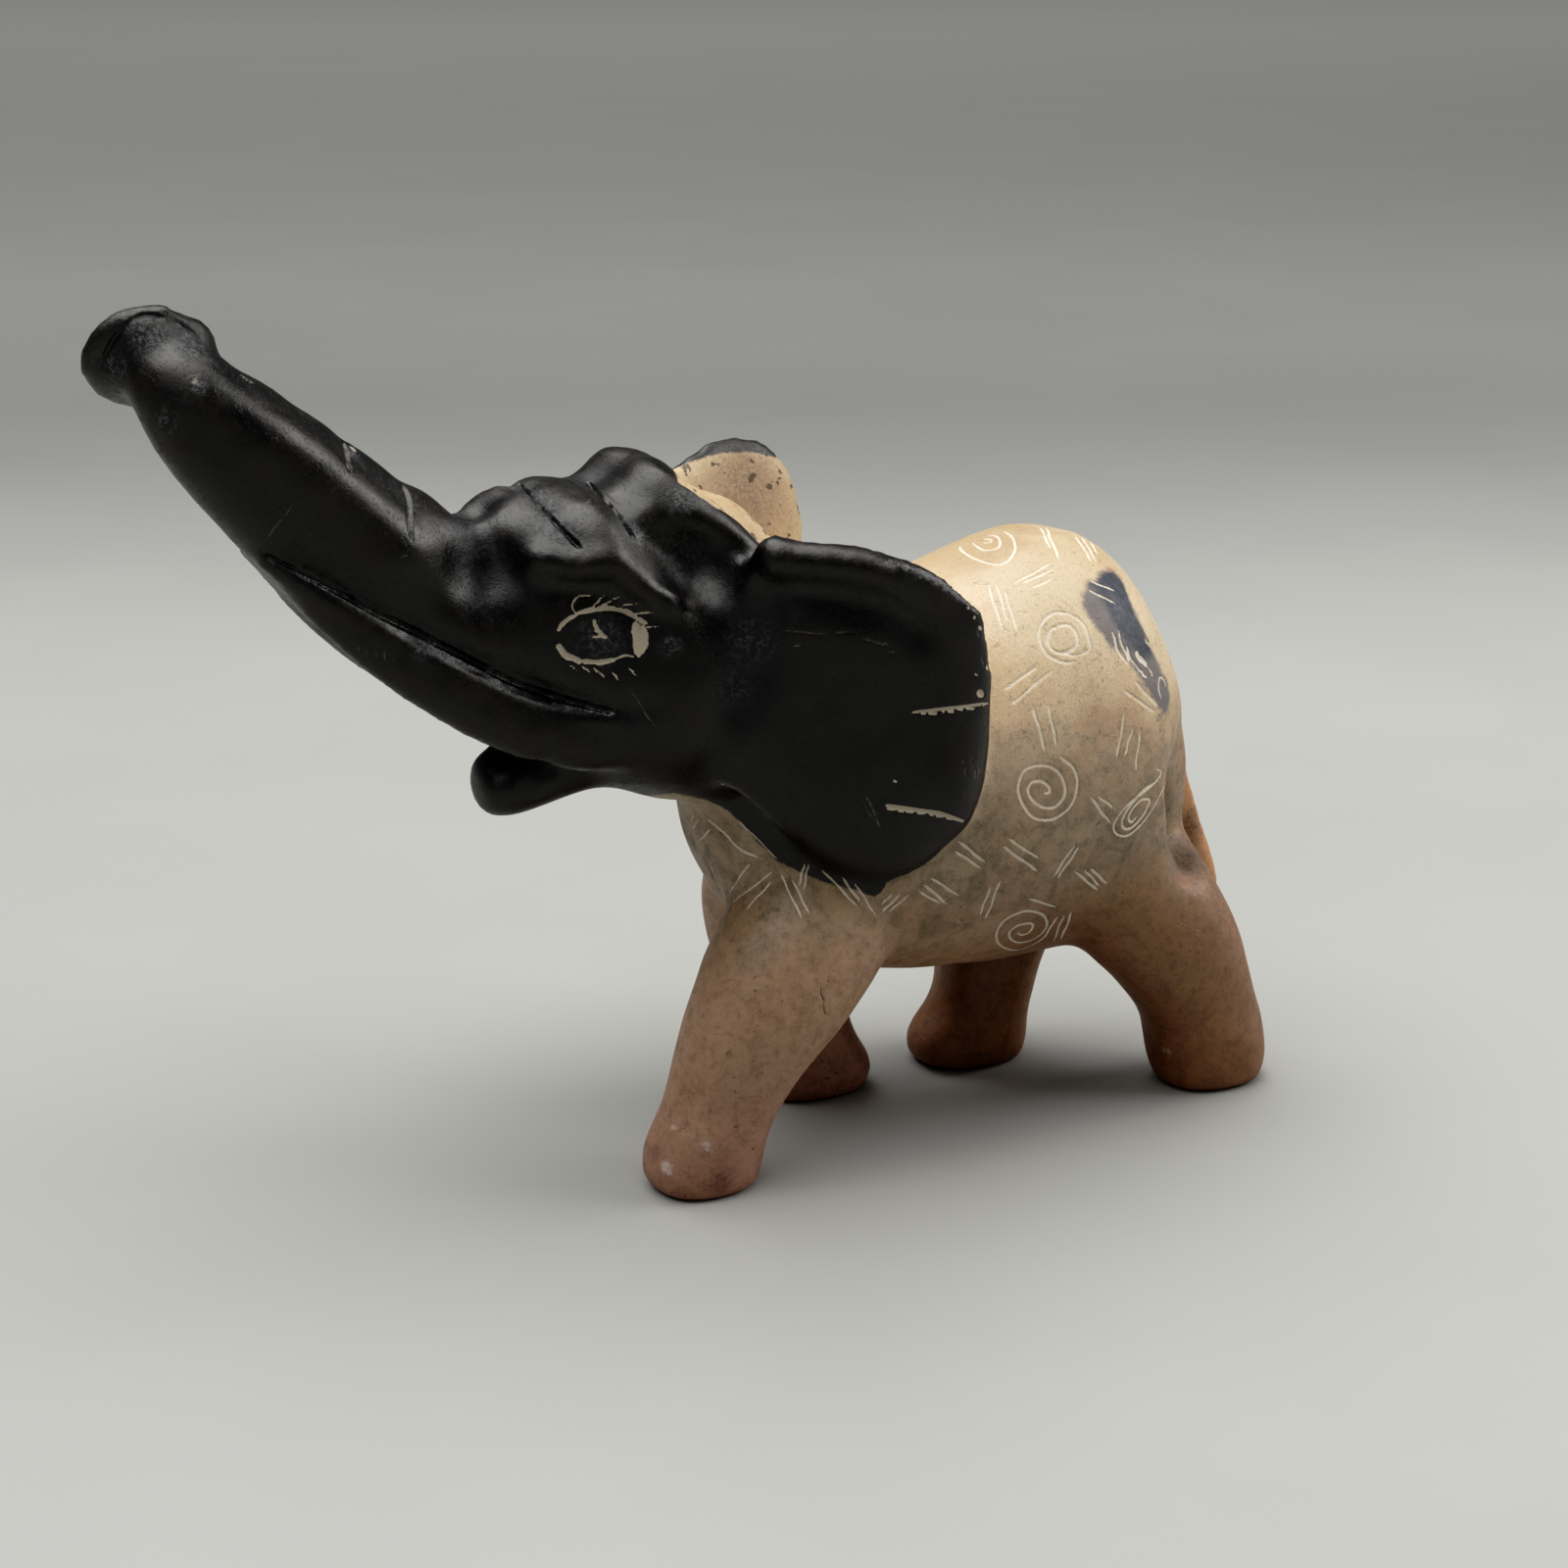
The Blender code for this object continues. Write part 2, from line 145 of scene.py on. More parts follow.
def new_finish(name):
    """A material with an empty graph but for its shader, whose settings come later."""
    finish = bpy.data.materials.new(name)
    finish.use_nodes = True
    return finish, finish.node_tree, finish.node_tree.nodes["Principled BSDF"]


# %% [markdown]
# ## The table and the light
# The figure stands on a smooth grey board under one wide soft lamp. A soft box on the right
# and a weak fill in front keep the shadows open. A wall would hide the figure from behind,
# so the board is one flat disc. Beyond a rounded square round the figure its colour darkens,
# as painted shade where a backdrop would fall dark, and it glows a little, more so farther
# out, as painted light.

# %% Lay the floor
# BOARD_DARK is painted shade that the board takes far from the figure
BOARD_PALE, BOARD_DARK = (0.352, 0.356, 0.345), (0.182, 0.186, 0.180)
BOARD_RADIUS, PALE_TO, DARK_FROM = 9.0, 0.24, 0.68  # metres
floor_mesh = bpy.data.meshes.new("board")
form = bmesh.new()
bmesh.ops.create_circle(form, cap_ends=True, cap_tris=True, segments=96, radius=BOARD_RADIUS)
form.to_mesh(floor_mesh)
form.free()
floor = bpy.data.objects.new("board", floor_mesh)
floor.location.z = -0.02 * MM  # just under the soles
bpy.context.scene.collection.objects.link(floor)

board, graph, shader = new_finish("grey board")
place = put(graph, "ShaderNodeTexCoord").outputs["Object"]
facing = put(
    graph, "ShaderNodeVectorRotate", {"Vector": place, "Angle": -TURN}, rotation_type="Z_AXIS"
)
split = put(graph, "ShaderNodeSeparateXYZ", {0: facing.outputs[0]})
sixths = [calc(graph, "POWER", calc(graph, "ABSOLUTE", split.outputs[i]), 6.0) for i in (0, 1)]
reach = calc(graph, "POWER", calc(graph, "ADD", *sixths), 1 / 6)
# painted shade: the board's colour darkens beyond a rounded square round the figure
far_shade = step(graph, reach, PALE_TO, DARK_FROM)
colour = blend(graph, far_shade, BOARD_PALE, BOARD_DARK)
cloud = step(graph, noise(graph, place, 9.0), 0.35, 0.65, 0.985, 1.015)
clouds = put(graph, "ShaderNodeCombineColor", {0: cloud, 1: cloud, 2: cloud}).outputs[0]
colour = blend(graph, 1.0, colour, clouds, "MULTIPLY")
graph.links.new(colour, shader.inputs["Base Color"])
# painted light: the board glows a little, more the farther it is from the figure
near_painted_glow = step(graph, reach, 0.2, 1.0, 0, 0.09)
painted_glow = calc(graph, "ADD", near_painted_glow, step(graph, reach, 1.1, 2.8, 0, 0.11))
graph.links.new(painted_glow, shader.inputs["Emission Strength"])
shader.inputs["Emission Color"].default_value = (1.0, 1.01, 0.985, 1)
shader.inputs["Roughness"].default_value = 0.5
shader.inputs["Specular IOR Level"].default_value = 0.3
floor_mesh.materials.append(board)
print("board is pale near the figure and dark from", DARK_FROM, "m out")

# %% Hang the lamps
def lamp(name, position, target, size, power, tint=(1, 1, 1)):
    """A square soft lamp at position, turned towards target."""
    light = bpy.data.lights.new(name, "AREA")
    light.size, light.energy, light.color = size, power, tint
    holder = bpy.data.objects.new(name, light)
    aim = (Vector(target) - Vector(position)).to_track_quat("-Z", "Y")
    holder.matrix_world = Matrix.Translation(position) @ aim.to_matrix().to_4x4()
    bpy.context.scene.collection.objects.link(holder)


lamp("wide lamp", (-0.30, 0.32, 2.0), (0, 0, 0.05), 2.6, 80.0, (1.0, 0.99, 0.97))
lamp("right soft box", (1.05, -0.36, 0.68), (0, 0, 0.08), 0.85, 11.0, (1.0, 0.985, 0.965))
lamp("front fill", (-0.95, -0.75, 0.85), (0, 0, 0.07), 0.9, 2.3, (0.97, 0.985, 1.0))
world = bpy.data.worlds.new("studio air")
world.use_nodes = True
world.node_tree.nodes["Background"].inputs[0].default_value = (0.15, 0.151, 0.15, 1)
world.node_tree.nodes["Background"].inputs[1].default_value = 1.0
bpy.context.scene.world = world
view = bpy.context.scene.view_settings
view.view_transform = "Standard"
view.use_curve_mapping = True
tones = view.curve_mapping.curves[3]
for shade, shown in (
    (0.02, 0.0022), (0.05, 0.0155), (0.09, 0.048), (0.14, 0.092), (0.27, 0.21),
    (0.45, 0.43), (0.6, 0.61),
):
    tones.points.new(shade, shown)
view.curve_mapping.update()

# %% [markdown]
# ## The stone's skin
# The solid has the right form but flat facets. Rubbed stone has none. A subdivision
# surface would keep the uneven facets as lumps. A voxel remesh gives even, small faces
# everywhere, and a light smoothing then melts the facets away, as the wet paper did.

# %% Remesh the solid and smooth it
VOXEL = 1.25 * MM
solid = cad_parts["elephant"]
stone = bpy.data.objects.new("carved_stone", solid.data.copy())
bpy.context.scene.collection.objects.link(stone)
form = bmesh.new()
form.from_mesh(stone.data)
bmesh.ops.remove_doubles(form, verts=form.verts, dist=0.002 * MM)
form.to_mesh(stone.data)
form.free()

remesh = stone.modifiers.new("even skin", "REMESH")
remesh.mode, remesh.voxel_size = "VOXEL", VOXEL
rub = stone.modifiers.new("rub smooth", "SMOOTH")
rub.factor, rub.iterations = 0.5, 12
stone.modifiers.new("thirds", "TRIANGULATE")
bpy.context.view_layer.update()
shaped = stone.evaluated_get(bpy.context.evaluated_depsgraph_get())
skin = bpy.data.meshes.new_from_object(shaped)
stone.modifiers.clear()
stone.data = skin
skin.materials.clear()
print("skin has", len(skin.polygons), "triangles")

# %% Read the skin as arrays
def read(items, name, width=3, kind=float):
    """One property of every vertex or edge, as rows of numbers."""
    values = np.empty(width * len(items), dtype=kind)
    items.foreach_get(name, values)
    return values.reshape(-1, width)


def arrays_of(mesh):
    """The points in mm, the normals and the edges of a mesh."""
    ends = read(mesh.edges, "vertices", 2, np.int64)
    return read(mesh.vertices, "co") / MM, read(mesh.vertices, "normal"), ends


def neighbour_mean(values, edges):
    """The mean of a value over the neighbours of each point."""
    size = len(values)
    total = np.bincount(edges[:, 0], values[edges[:, 1]], size)
    total += np.bincount(edges[:, 1], values[edges[:, 0]], size)
    return total / np.maximum(np.bincount(edges.ravel(), minlength=size), 1)


def spread(values, edges, rounds):
    """Averages a value with its neighbours', round after round."""
    for _ in range(rounds):
        values = 0.5 * values + 0.5 * neighbour_mean(values, edges)
    return values


def set_points():
    """Puts the points back on the skin."""
    skin.vertices.foreach_set("co", (points * MM).ravel())
    skin.update()


points, normals, edges = arrays_of(skin)
print("highest point", round(points[:, 2].max(), 2), "lowest", round(points[:, 2].min(), 2))

# %% [markdown]
# ## Finding a place on the stone
# The marks were read off the picture as points across and down, in a frame 1600 wide. To
# keep the lists short, a line is written as its first point and then the step to each next
# one. A line of sight from the camera through a point meets the stone where the mark is
# cut, so the mark lies on the form from every side. The far side is hidden, so its marks
# are the near ones mirrored, a little shifted, and fewer.

# %% Cast lines at the skin
def face_tree():
    """A search tree of the skin's faces as they are now."""
    faces = [tuple(f.vertices) for f in skin.polygons]
    return BVHTree.FromPolygons([Vector(p) for p in points * MM], faces)


tree_of_faces = face_tree()


def seen_at(across, down):
    """The point in mm, and the way the stone faces there, at a place in the picture."""
    pixel = LENS / FILM * VIEW_SIZE
    half = VIEW_SIZE / 2
    ray = right * (across - half) - up * (down - half) - back * pixel
    hit, facing, _, _ = tree_of_faces.ray_cast(eye_point, ray.normalized())
    return (None, None) if hit is None else (np.array(hit) / MM, np.array(facing))


def mirrored(point, facing, shift=(0.0, 0.0)):
    """The matching place on the other side of the figure."""
    there = Vector((point[0] + shift[0], -point[1], point[2] + shift[1])) * MM
    way = Vector((facing[0], -facing[1], facing[2]))
    hit, out, _, _ = tree_of_faces.ray_cast(there + way * 12 * MM, -way, 24 * MM)
    return (None, None) if hit is None else (np.array(hit) / MM, np.array(out))


def walk(steps):
    """The points of a line that is written as a first point and steps."""
    return np.cumsum(np.reshape(steps, (-1, 2)), axis=0).astype(float)


print("eye of the elephant is at", np.round(seen_at(613, 650)[0], 1))

# %% [markdown]
# ## Firmer modelling of the head
# The solid has the head's large forms. The carver left a few firmer ones on them: a ledge
# over the eye, a hollow at the temple, a ridge from the crown to the ear, the rolled rim
# of the ear and the sharp back of the tusk. They could go into the solid, but it would
# need many more faces. Here each is a soft push along a line, in or out.

# %% Lines of the firmer forms
FURROW = [(268, 566), (32, 15), (40, 20), (45, 25), (45, 22), (50, 26), (40, 20), (39, 15),
          (40, 11)]
# each line in the picture, with its radius and its rise in mm
SOFT_FORMS = [
    ([(552, 572), (32, 8), (26, -3), (20, 0), (20, 19), (18, 11), (18, 5)], 2.2, 1.7),
    ([(572, 600), (28, 3), (26, 3), (24, 14)], 3.0, -1.2),
    ([(676, 548), (18, 14), (14, 14)], 4.0, -1.3),
    ([(664, 530), (36, 0), (35, 8), (30, 15), (23, 10)], 2.6, 1.1),
    ((484, 508, 4, 32), 3.2, -0.5),
    ([(512, 522), (16, 26), (20, 18)], 5.0, 0.6),
    ((600, 520, 22, 36), 3.4, 0.7),
    ((648, 474, 20, 8), 4.5, 1.5),
    ([(794, 572), (46, 3), (40, 5), (40, 12), (35, 17), (25, 25)], 2.7, 2.5),
    ([(800, 606), (50, 4), (50, 10), (40, 20)], 3.4, -1.2),
    ([(775, 640), (-10, 40), (-20, 40)], 4.0, -0.9),
    ([(974, 648), (5, 52), (2, 60), (-10, 52)], 2.6, 0.7),
    ([(272, 572), (40, 22), (42, 23), (46, 28), (40, 24), (40, 22), (40, 18), (39, 13),
      (40, 8), (24, 3)], 2.2, 1.4),
    (FURROW + [(32, 7)], 1.8, -0.8),
    ([(182, 378), (33, 20), (38, 23), (42, 31), (59, 40), (36, 32), (22, 34)], 5.2, 1.5),
    ([(240, 388), (60, 30), (50, 42), (45, 40)], 3.6, -0.8),
    ([(200, 440), (50, 50), (60, 50), (60, 40), (60, 40)], 4.5, -0.5),
    ([(105, 366), (18, -27), (12, -13), (15, -6), (22, 4), (16, 8)], 1.9, -0.8),
    ([(96, 352), (12, -16), (16, -12)], 1.7, 0.4),
    ([(560, 768), (-12, 22), (-8, 18)], 2.0, -0.6),
    ((712, 596, 16, 10), 6.5, -1.7),
    ((482, 598, 32, 4), 6.5, -1.1),
    ([(1208, 805), (3, 30), (3, 27), (5, 22)], 2.6, -2.4),
    ([(690, 1160), (25, 8), (30, -4)], 2.4, 0.5),
    ([(1190, 1064), (45, -8), (37, 6)], 2.6, 0.5),
]
FAR_EAR_TOP = [(2, 15, 106.5), (5, 18.5, 108), (9, 24, 109.5), (14, 27.5, 110), (19, 29, 109.5)]
NEAR_EAR_EDGE = [(27.8, -30.6, 88.5), (29.2, -30.5, 84), (30, -30, 79), (30.3, -29.6, 75),
                 (30, -29.6, 68), (26.8, -29.4, 60)]
EAR_PUSH, EDGE_RADIUS = 2.5, 5.0


def both_sides(line, radius, shift):
    """A push on the near side and its mirror image on the far side."""
    far_line = [(x, -y, z) for x, y, z in line]
    return [(line, radius, shift), (far_line, radius, (shift[0], -shift[1], shift[2]))]


# centres, radius and shift, all in mm: the gap between lip and throat, the nape behind
# the crown, the hollow on each side of the tail, and the edges of the ears
PUSHED_PLACES = [
    ([(-24.0, 0.0, 62.6)], 6.5, (0.0, 0.0, 2.2)),
    *both_sides([(-7, -8, 115.5), (-4, -9.5, 113), (-1, -11, 110.5), (1.5, -12, 107.5)],
                4.5, (0.8, 1.2, -4.6)),
    *both_sides([(-3, -5, 115), (0, -6.5, 112.5), (3, -8, 109.5), (6, -9, 106)],
                6.0, (0.5, 0.0, -3.6)),
    *both_sides([(76, -19.5, 60), (77.5, -19.5, 54), (78.5, -19.5, 48)],
                6.5, (-2.8, 1.0, 0.0)),
    (FAR_EAR_TOP, 4.5, (0.0, 0.0, 1.8)),
    ([(24, 29.5, 107), (27.5, 30, 101), (29, 30, 95)], 4.5, (0.9, 0.0, 1.2)),
    (NEAR_EAR_EDGE, EDGE_RADIUS, (EAR_PUSH, 0.0, 0.0)),
]
print(len(SOFT_FORMS), "lines and", len(PUSHED_PLACES), "places")

# %% Push the forms out or in
def close_set(knots):
    """The same line with its points close together, so that it pushes evenly."""
    knots = np.array(knots, dtype=float)
    parts = [np.linspace(a, b, 8) for a, b in zip(knots, knots[1:])]
    return np.concatenate([knots[:1]] + parts)


def strength(centres, radius):
    """One at the centres, fading smoothly with distance."""
    gap = np.full(len(points), 1e9)
    for centre in centres:
        gap = np.minimum(gap, np.linalg.norm(points - centre, axis=1))
    return np.exp(-((gap / radius) ** 2))[:, None]


total = np.zeros_like(points)
for line, radius, rise_by in SOFT_FORMS:
    near = [seen_at(*spot) for spot in close_set(walk(line))]
    near = [(spot, way) for spot, way in near if spot is not None]
    twins = [mirrored(spot, way)[0] for spot, way in near]
    centres = [spot for spot, _ in near] + [twin for twin in twins if twin is not None]
    total += rise_by * strength(centres, radius) * normals
for centres, radius, shift in PUSHED_PLACES:
    total += strength(close_set(centres), radius) * np.array(shift)
points = points + total
for k in range(3):  # the far ear's edge is rubbed rounder
    rubbed = spread(points[:, k], edges, 8)
    points[:, k] += strength(close_set(FAR_EAR_TOP), 5.0)[:, 0] * (rubbed - points[:, k])
set_points()
normals = read(skin.vertices, "normal")
print("largest push", round(np.linalg.norm(total, axis=1).max(), 2), "mm")

# %% [markdown]
# ## Ridges and hollows
# Hands and cloth wear the ridges of a figure, and dust and dye stay in its hollows. Which
# is which can be read from the form: on a ridge a point stands above the middle of its
# neighbours, and in a hollow it lies below it. That number is kept for the finish.

# %% Measure how much each point stands out
FULL_RIDGE = 0.05  # mm above the middle of the neighbours
middle = np.stack([neighbour_mean(points[:, k], edges) for k in range(3)], axis=1)
stands_out = spread(((points - middle) * normals).sum(1), edges, 6)
ridge = np.clip(stands_out / FULL_RIDGE, -1, 1)


def keep(name, values):
    """Keeps one number for each point of the skin."""
    layer = skin.attributes.new(name, "FLOAT", "POINT")
    layer.data.foreach_set("value", values.astype(np.float32))


keep("ridge", ridge)
print("ridge points", (ridge > 0.5).sum(), "hollow points", (ridge < -0.5).sum())

# %% [markdown]
# ## Unevenness left by hand
# No plane of a hand-rubbed figure is perfectly even, and that is what makes its gloss
# live. A few crossing waves of 7 to 20 mm, hardly a tenth of a millimetre high, are enough.

# %% Add the unevenness and set the soles flat
WAVES, WAVE_HEIGHT = 26, 0.06
rng = np.random.default_rng(7)
uneven = np.zeros(len(points))
for _ in range(WAVES):
    direction = rng.normal(size=3)
    direction *= 2 * math.pi / rng.uniform(7, 20) / np.linalg.norm(direction)
    uneven += np.sin(points @ direction + rng.uniform(0, 6.28))
uneven *= WAVE_HEIGHT / uneven.std()
inside = np.clip(-0.05 + uneven, -0.4, 0.05)
points += normals * inside[:, None]
# the last two millimetres above the floor are ground flat
low = points[:, 2].min()
near_sole = np.clip(1 - points[:, 2] / 2.0, 0, 1)
points[:, 2] = np.maximum(points[:, 2] - low * near_sole - 0.10 * near_sole, 0)
# the ears stay inside the solid's box: the last millimetre is eased in
widest = cad_high.y / MM - 1.0
beyond = np.maximum(np.abs(points[:, 1]) - widest, 0)
points[:, 1] -= np.sign(points[:, 1]) * (beyond - 1 + np.exp(-beyond))
set_points()
tree_of_faces = face_tree()
print("unevenness runs from", round(inside.min(), 2), "to", round(inside.max(), 2), "mm")

# %% [markdown]
# ## The cut marks
# The body carries spirals, rings and short strokes, two or three together. They were
# scratched freehand with a point, so no two are alike, and each has its own line here.

# %% Straight strokes: where each starts, and how far it goes across and down
BODY_STROKES = [
    (1093, 539, 21, 34), (1100, 541, 19, 32), (1105, 542, 16, 24), (1035, 595, 39, -21),
    (1043, 595, 32, -14), (1054, 600, 19, -10), (1008, 596, 15, 47), (1017, 596, 11, 38),
    (1025, 602, 13, 42), (1025, 704, 34, -25), (1032, 719, 42, -35), (1054, 720, 13, 47),
    (1070, 719, 8, 41), (1148, 728, -8, 46), (1156, 744, -8, 27), (1164, 745, -5, 41),
    (1113, 813, 20, 27), (1121, 813, 18, 13), (1029, 856, 31, 20), (1024, 864, 35, 25),
    (1098, 861, -23, 34), (1102, 864, -22, 32), (1098, 890, 23, 19), (1106, 887, 18, 19),
    (1113, 886, 17, 16), (1011, 905, -12, 32), (1021, 899, -15, 39), (975, 869, 26, 17),
    (979, 859, 26, 21), (950, 896, 28, 18), (942, 902, 25, 21), (936, 909, 23, 13),
    (1050, 917, 28, 9), (1094, 931, -12, 31), (1086, 934, -12, 30), (1111, 592, 27, 11),
    (1111, 602, 28, 14), (1148, 705, 31, 22), (1157, 694, 25, 27),
]
CHEST_STROKES = [
    (710, 827, -9, 17), (715, 834, -10, 13), (726, 845, -15, 16), (754, 838, 39, 39),
    (716, 880, 17, 38), (721, 875, 20, 49), (765, 881, -23, 32), (788, 890, -41, 31),
    (787, 900, -27, 29), (796, 891, 22, 46), (808, 897, 18, 36), (821, 881, -6, 23),
    (825, 881, -5, 27), (839, 888, 37, 38), (859, 895, 21, 29), (872, 901, 23, 35),
    (911, 912, -12, 12), (919, 913, -19, 18), (928, 913, -21, 18),
]
print(len(BODY_STROKES), "strokes on the body,", len(CHEST_STROKES), "on the chest")

# %% Curved marks
CURVED_MARKS = [
    [(1024, 542), (8, 5), (4, 8), (0, 7), (-6, 9), (-10, 5), (-10, -1), (-13, -4), (-11, -6),
     (-6, -6), (3, -3)],
    [(1009, 546), (8, 1), (3, 5), (-1, 6), (-7, 3), (-8, 0), (-8, -4), (-4, -3)],
    [(1003, 550), (7, 0), (1, 2), (-4, 2), (-3, -1)],
    [(1059, 536), (4, 5), (5, 10), (3, 8)],
    [(1064, 535), (5, 6), (4, 10), (7, 19)],
    [(1090, 626), (-13, -1), (-11, 7), (-5, 11), (1, 13), (6, 11), (9, 6), (10, 3), (11, -1)],
    [(1090, 626), (9, 5), (8, 9), (4, 12), (2, 10), (-8, 5), (-9, 2), (-10, -2)],
    [(1081, 638), (-9, 5), (-3, 9), (3, 9), (9, 5), (9, -1), (9, -7), (0, -9), (-5, -9),
     (-7, -3), (-9, 2)],
    [(1082, 772), (14, 12), (4, 18), (-7, 21), (-18, 13), (-18, -1), (-12, -12), (-6, -18),
     (6, -18), (15, -6), (15, 3), (10, 12), (2, 15), (-9, 12), (-12, 1), (-11, -7), (-5, -9),
     (3, -9), (10, -2), (8, 6), (0, 6), (-7, 0)],
    [(1180, 785), (5, 3), (-5, 9), (-12, 11), (-15, 12), (-12, 15), (-4, 9), (3, 7), (10, 2),
     (12, -9), (12, -15), (12, -21), (5, -11)],
    [(1178, 799), (-13, 10), (-14, 17), (-6, 12), (2, 7), (7, 0), (11, -10), (7, -12), (2, -7),
     (-9, 1), (-9, 9), (-4, 9), (3, 4), (5, -6)],
    [(1079, 936), (-8, 12), (-6, 9), (-9, 6), (-11, 5), (-9, 2), (-10, -2), (-7, -5), (-2, -7),
     (2, -8), (6, -8), (10, -6), (12, -4), (11, 1), (8, 4), (3, 8), (-3, 7), (-8, 7), (-10, 4),
     (-10, 1), (-7, -4), (-1, -6), (6, -6), (9, -3), (8, 0), (0, 5), (-5, 5), (-7, 1),
     (-3, -3)],
    [(722, 836), (9, 8), (9, 8), (8, 9), (9, 7), (8, 4), (8, 3)],
    [(1135, 644), (6, 19), (10, 15)],
    [(1141, 643), (5, 17), (7, 16)],
    [(1149, 659), (6, 14), (8, 12)],
    (1168, 651, 5, 9),
    (1172, 680, 5, 11),
    [(1185, 714), (-2, -12), (0, -10), (4, 1), (4, 8)],
]
print(len(CURVED_MARKS), "curved marks")

# %% [markdown]
# ## The eye and the ear's notches
# The eye is scratched too: a wide pale band for each lid, a block behind the corner, short
# lashes, and one pale fleck for the light in it. The ear has two broad ragged notches and
# a dot at its rim. They are wider than the other marks, because a blade scraped them.

# %% Wide marks, each with half its width in pixels
EYE_MARKS = [
    ([(570, 643), (8, -10), (14, -8)], 2.0),
    ([(592, 625), (20, -4), (20, 1), (16, 7), (11, 7)], 2.8),
    ([(570, 660), (8, 9), (14, 6)], 4.0), ([(592, 675), (20, 1), (14, -3)], 2.6),
    ([(626, 673), (12, -4), (8, 1)], 1.2), ([(649, 638), (1, 14), (1, 15)], 4.6),
    ([(657, 640), (1, 12), (-3, 13)], 3.8), ((606, 634, 4, 9), 2.2),
    ([(609, 643), (4, 4), (4, 3)], 3.2), ((606, 650, 8, 0), 1.6),
    ([(586, 624), (-2, -8), (6, -7), (12, -1)], 1.2),
]
LASHES = [
    (606, 618, 10, -10), (610, 620, 22, -11), (632, 618, 18, -2), (648, 626, 17, -1),
    (658, 640, 15, 0), (581, 678, 8, 7), (594, 680, 8, 6), (605, 681, 14, 12),
    (625, 686, 6, 8), (642, 682, 7, 7),
]
# each notch is one straight scrape with a row of nicks along its lower edge
NOTCHES = [
    ([(932, 727), (26, -3), (26, -3), (25, -3)], 1.9),
    ([(905, 822), (25, 4), (28, 4), (25, 8)], 2.6), ((1000, 707, 2, 2), 4.6),
]
# each nick: where it is, its length and half its width
NICKS = [
    (941, 728, 3, 1.9), (949, 728, 6, 2.3), (961, 726, 3, 1.7), (968, 726, 5, 2.5),
    (979, 724, 3, 1.9), (987, 723, 7, 2.2), (1000, 721, 3, 1.7), (907, 825, 7, 2.5),
    (918, 827, 4, 3.1), (926, 828, 6, 2.5), (937, 829, 7, 3.1), (949, 831, 3, 2.4),
    (956, 832, 6, 2.9), (967, 835, 4, 2.2),
]
NOTCHES += [((x, y, length, 0.5), half) for x, y, length, half in NICKS]
FLECKS = [
    ((988, 620, 1, 1), 1.9), ((994, 630, 1, 1), 1.9), ((1000, 640, 1, 2), 2.2),
    ((1007, 680, 1, 3), 1.9), ((996, 688, 1, 1), 1.7), ((913, 797, 1, 1), 1.7),
    ((737, 800, 1, 1), 1.7), ([(1160, 667), (4, 6), (6, 5)], 3.2),
    ((1163, 684, 6, 7), 1.8),
]
print(len(EYE_MARKS), "parts of the eye,", len(LASHES), "lashes,", len(NOTCHES), "notches")

# %% [markdown]
# ## Darker cuts
# The brow is creased, the trunk is notched across, and a furrow runs over the tusk. The
# solid has them as soft dips. A knife leaves a crisp bottom, which the dye filled, so a
# narrow dark cut goes down the middle of each dip.

# %% Knife cuts and scuffs
KNIFE_CUTS = [
    ([(527, 490), (18, 20), (23, 24), (24, 26)], 2.8, 0.8),
    ([(600, 492), (14, 14), (18, 20), (16, 24)], 2.2, 0.8),
    ([(410, 492), (5, 12), (3, 22), (2, 24)], 3.0, 0.5),
    ([(350, 447), (3, 15), (3, 18)], 2.6, 0.5),
    ([(243, 380), (7, 6), (8, 5)], 2.4, 0.4),
    (FURROW + [(29, 7)], 3.4, 0.5),
    ([(105, 366), (9, -16), (9, -11), (12, -13), (15, -5), (18, 3)], 3.6, 0.4),
    ([(182, 330), (14, 10), (12, 10)], 3.4, 0.25),
    ([(837, 1007), (1, 7), (3, 6), (-1, 8), (4, 10)], 1.3, 0.2),
    ((871, 1016, 0, 3), 2.0, 0.15),
    ((772, 1046, 1, 2), 1.6, 0.12),
    ((820, 1069, 0, 2), 1.4, 0.12),
]
SCUFFS = [
    (279, 448, 9, -4), (300, 514, -28, 36), (406, 571, 12, -6), (366, 658, 0, 10),
    (374, 660, 0, 12), (383, 662, 1, 10), (392, 664, 1, 11), (401, 668, 1, 8),
    (356, 456, 6, 10), (414, 503, 5, 42), (640, 700, 28, 42), (878, 815, 14, 23),
    (884, 811, 15, 35), (798, 643, 48, 5), (850, 646, 24, -1), (880, 652, 31, 8),
    (806, 660, 26, -3), (128, 332, 12, 18), (134, 331, 12, 21), (141, 330, 11, 23),
    (148, 331, 12, 23), (156, 332, 11, 23), (163, 334, 11, 22), (172, 340, 14, 16),
    (972, 600, 9, 7), (986, 612, 5, 10), (996, 640, 4, 12), (1002, 668, 2, 14),
    (545, 495, 21, 20), (553, 492, 9, 16), (982, 772, 4, 24), (992, 771, 4, 27),
    (1000, 775, -2, 21), (901, 655, 8, 5), (905, 664, 12, 3),
]
# painted highlight: pale lines along the lit edges of the ear's top rim and of a notch in the
# trunk
PAINTED_HIGHLIGHT_EDGES = [
    [(906, 571), (14, 4), (13, 5)],
    [(352, 452), (4, 14), (3, 16)],
]
print(len(KNIFE_CUTS), "knife cuts,", len(SCUFFS), "scuffs")

# %% [markdown]
# ## From lines to samples
# A mark is cut by lowering every point of the skin that lies near its line. To find the
# nearest place on any line quickly, each line becomes a row of samples a tenth of a
# millimetre apart, kept in a search tree. A sample knows its half width and its depth,
# both smaller at the ends of the stroke, where the point was lifted.

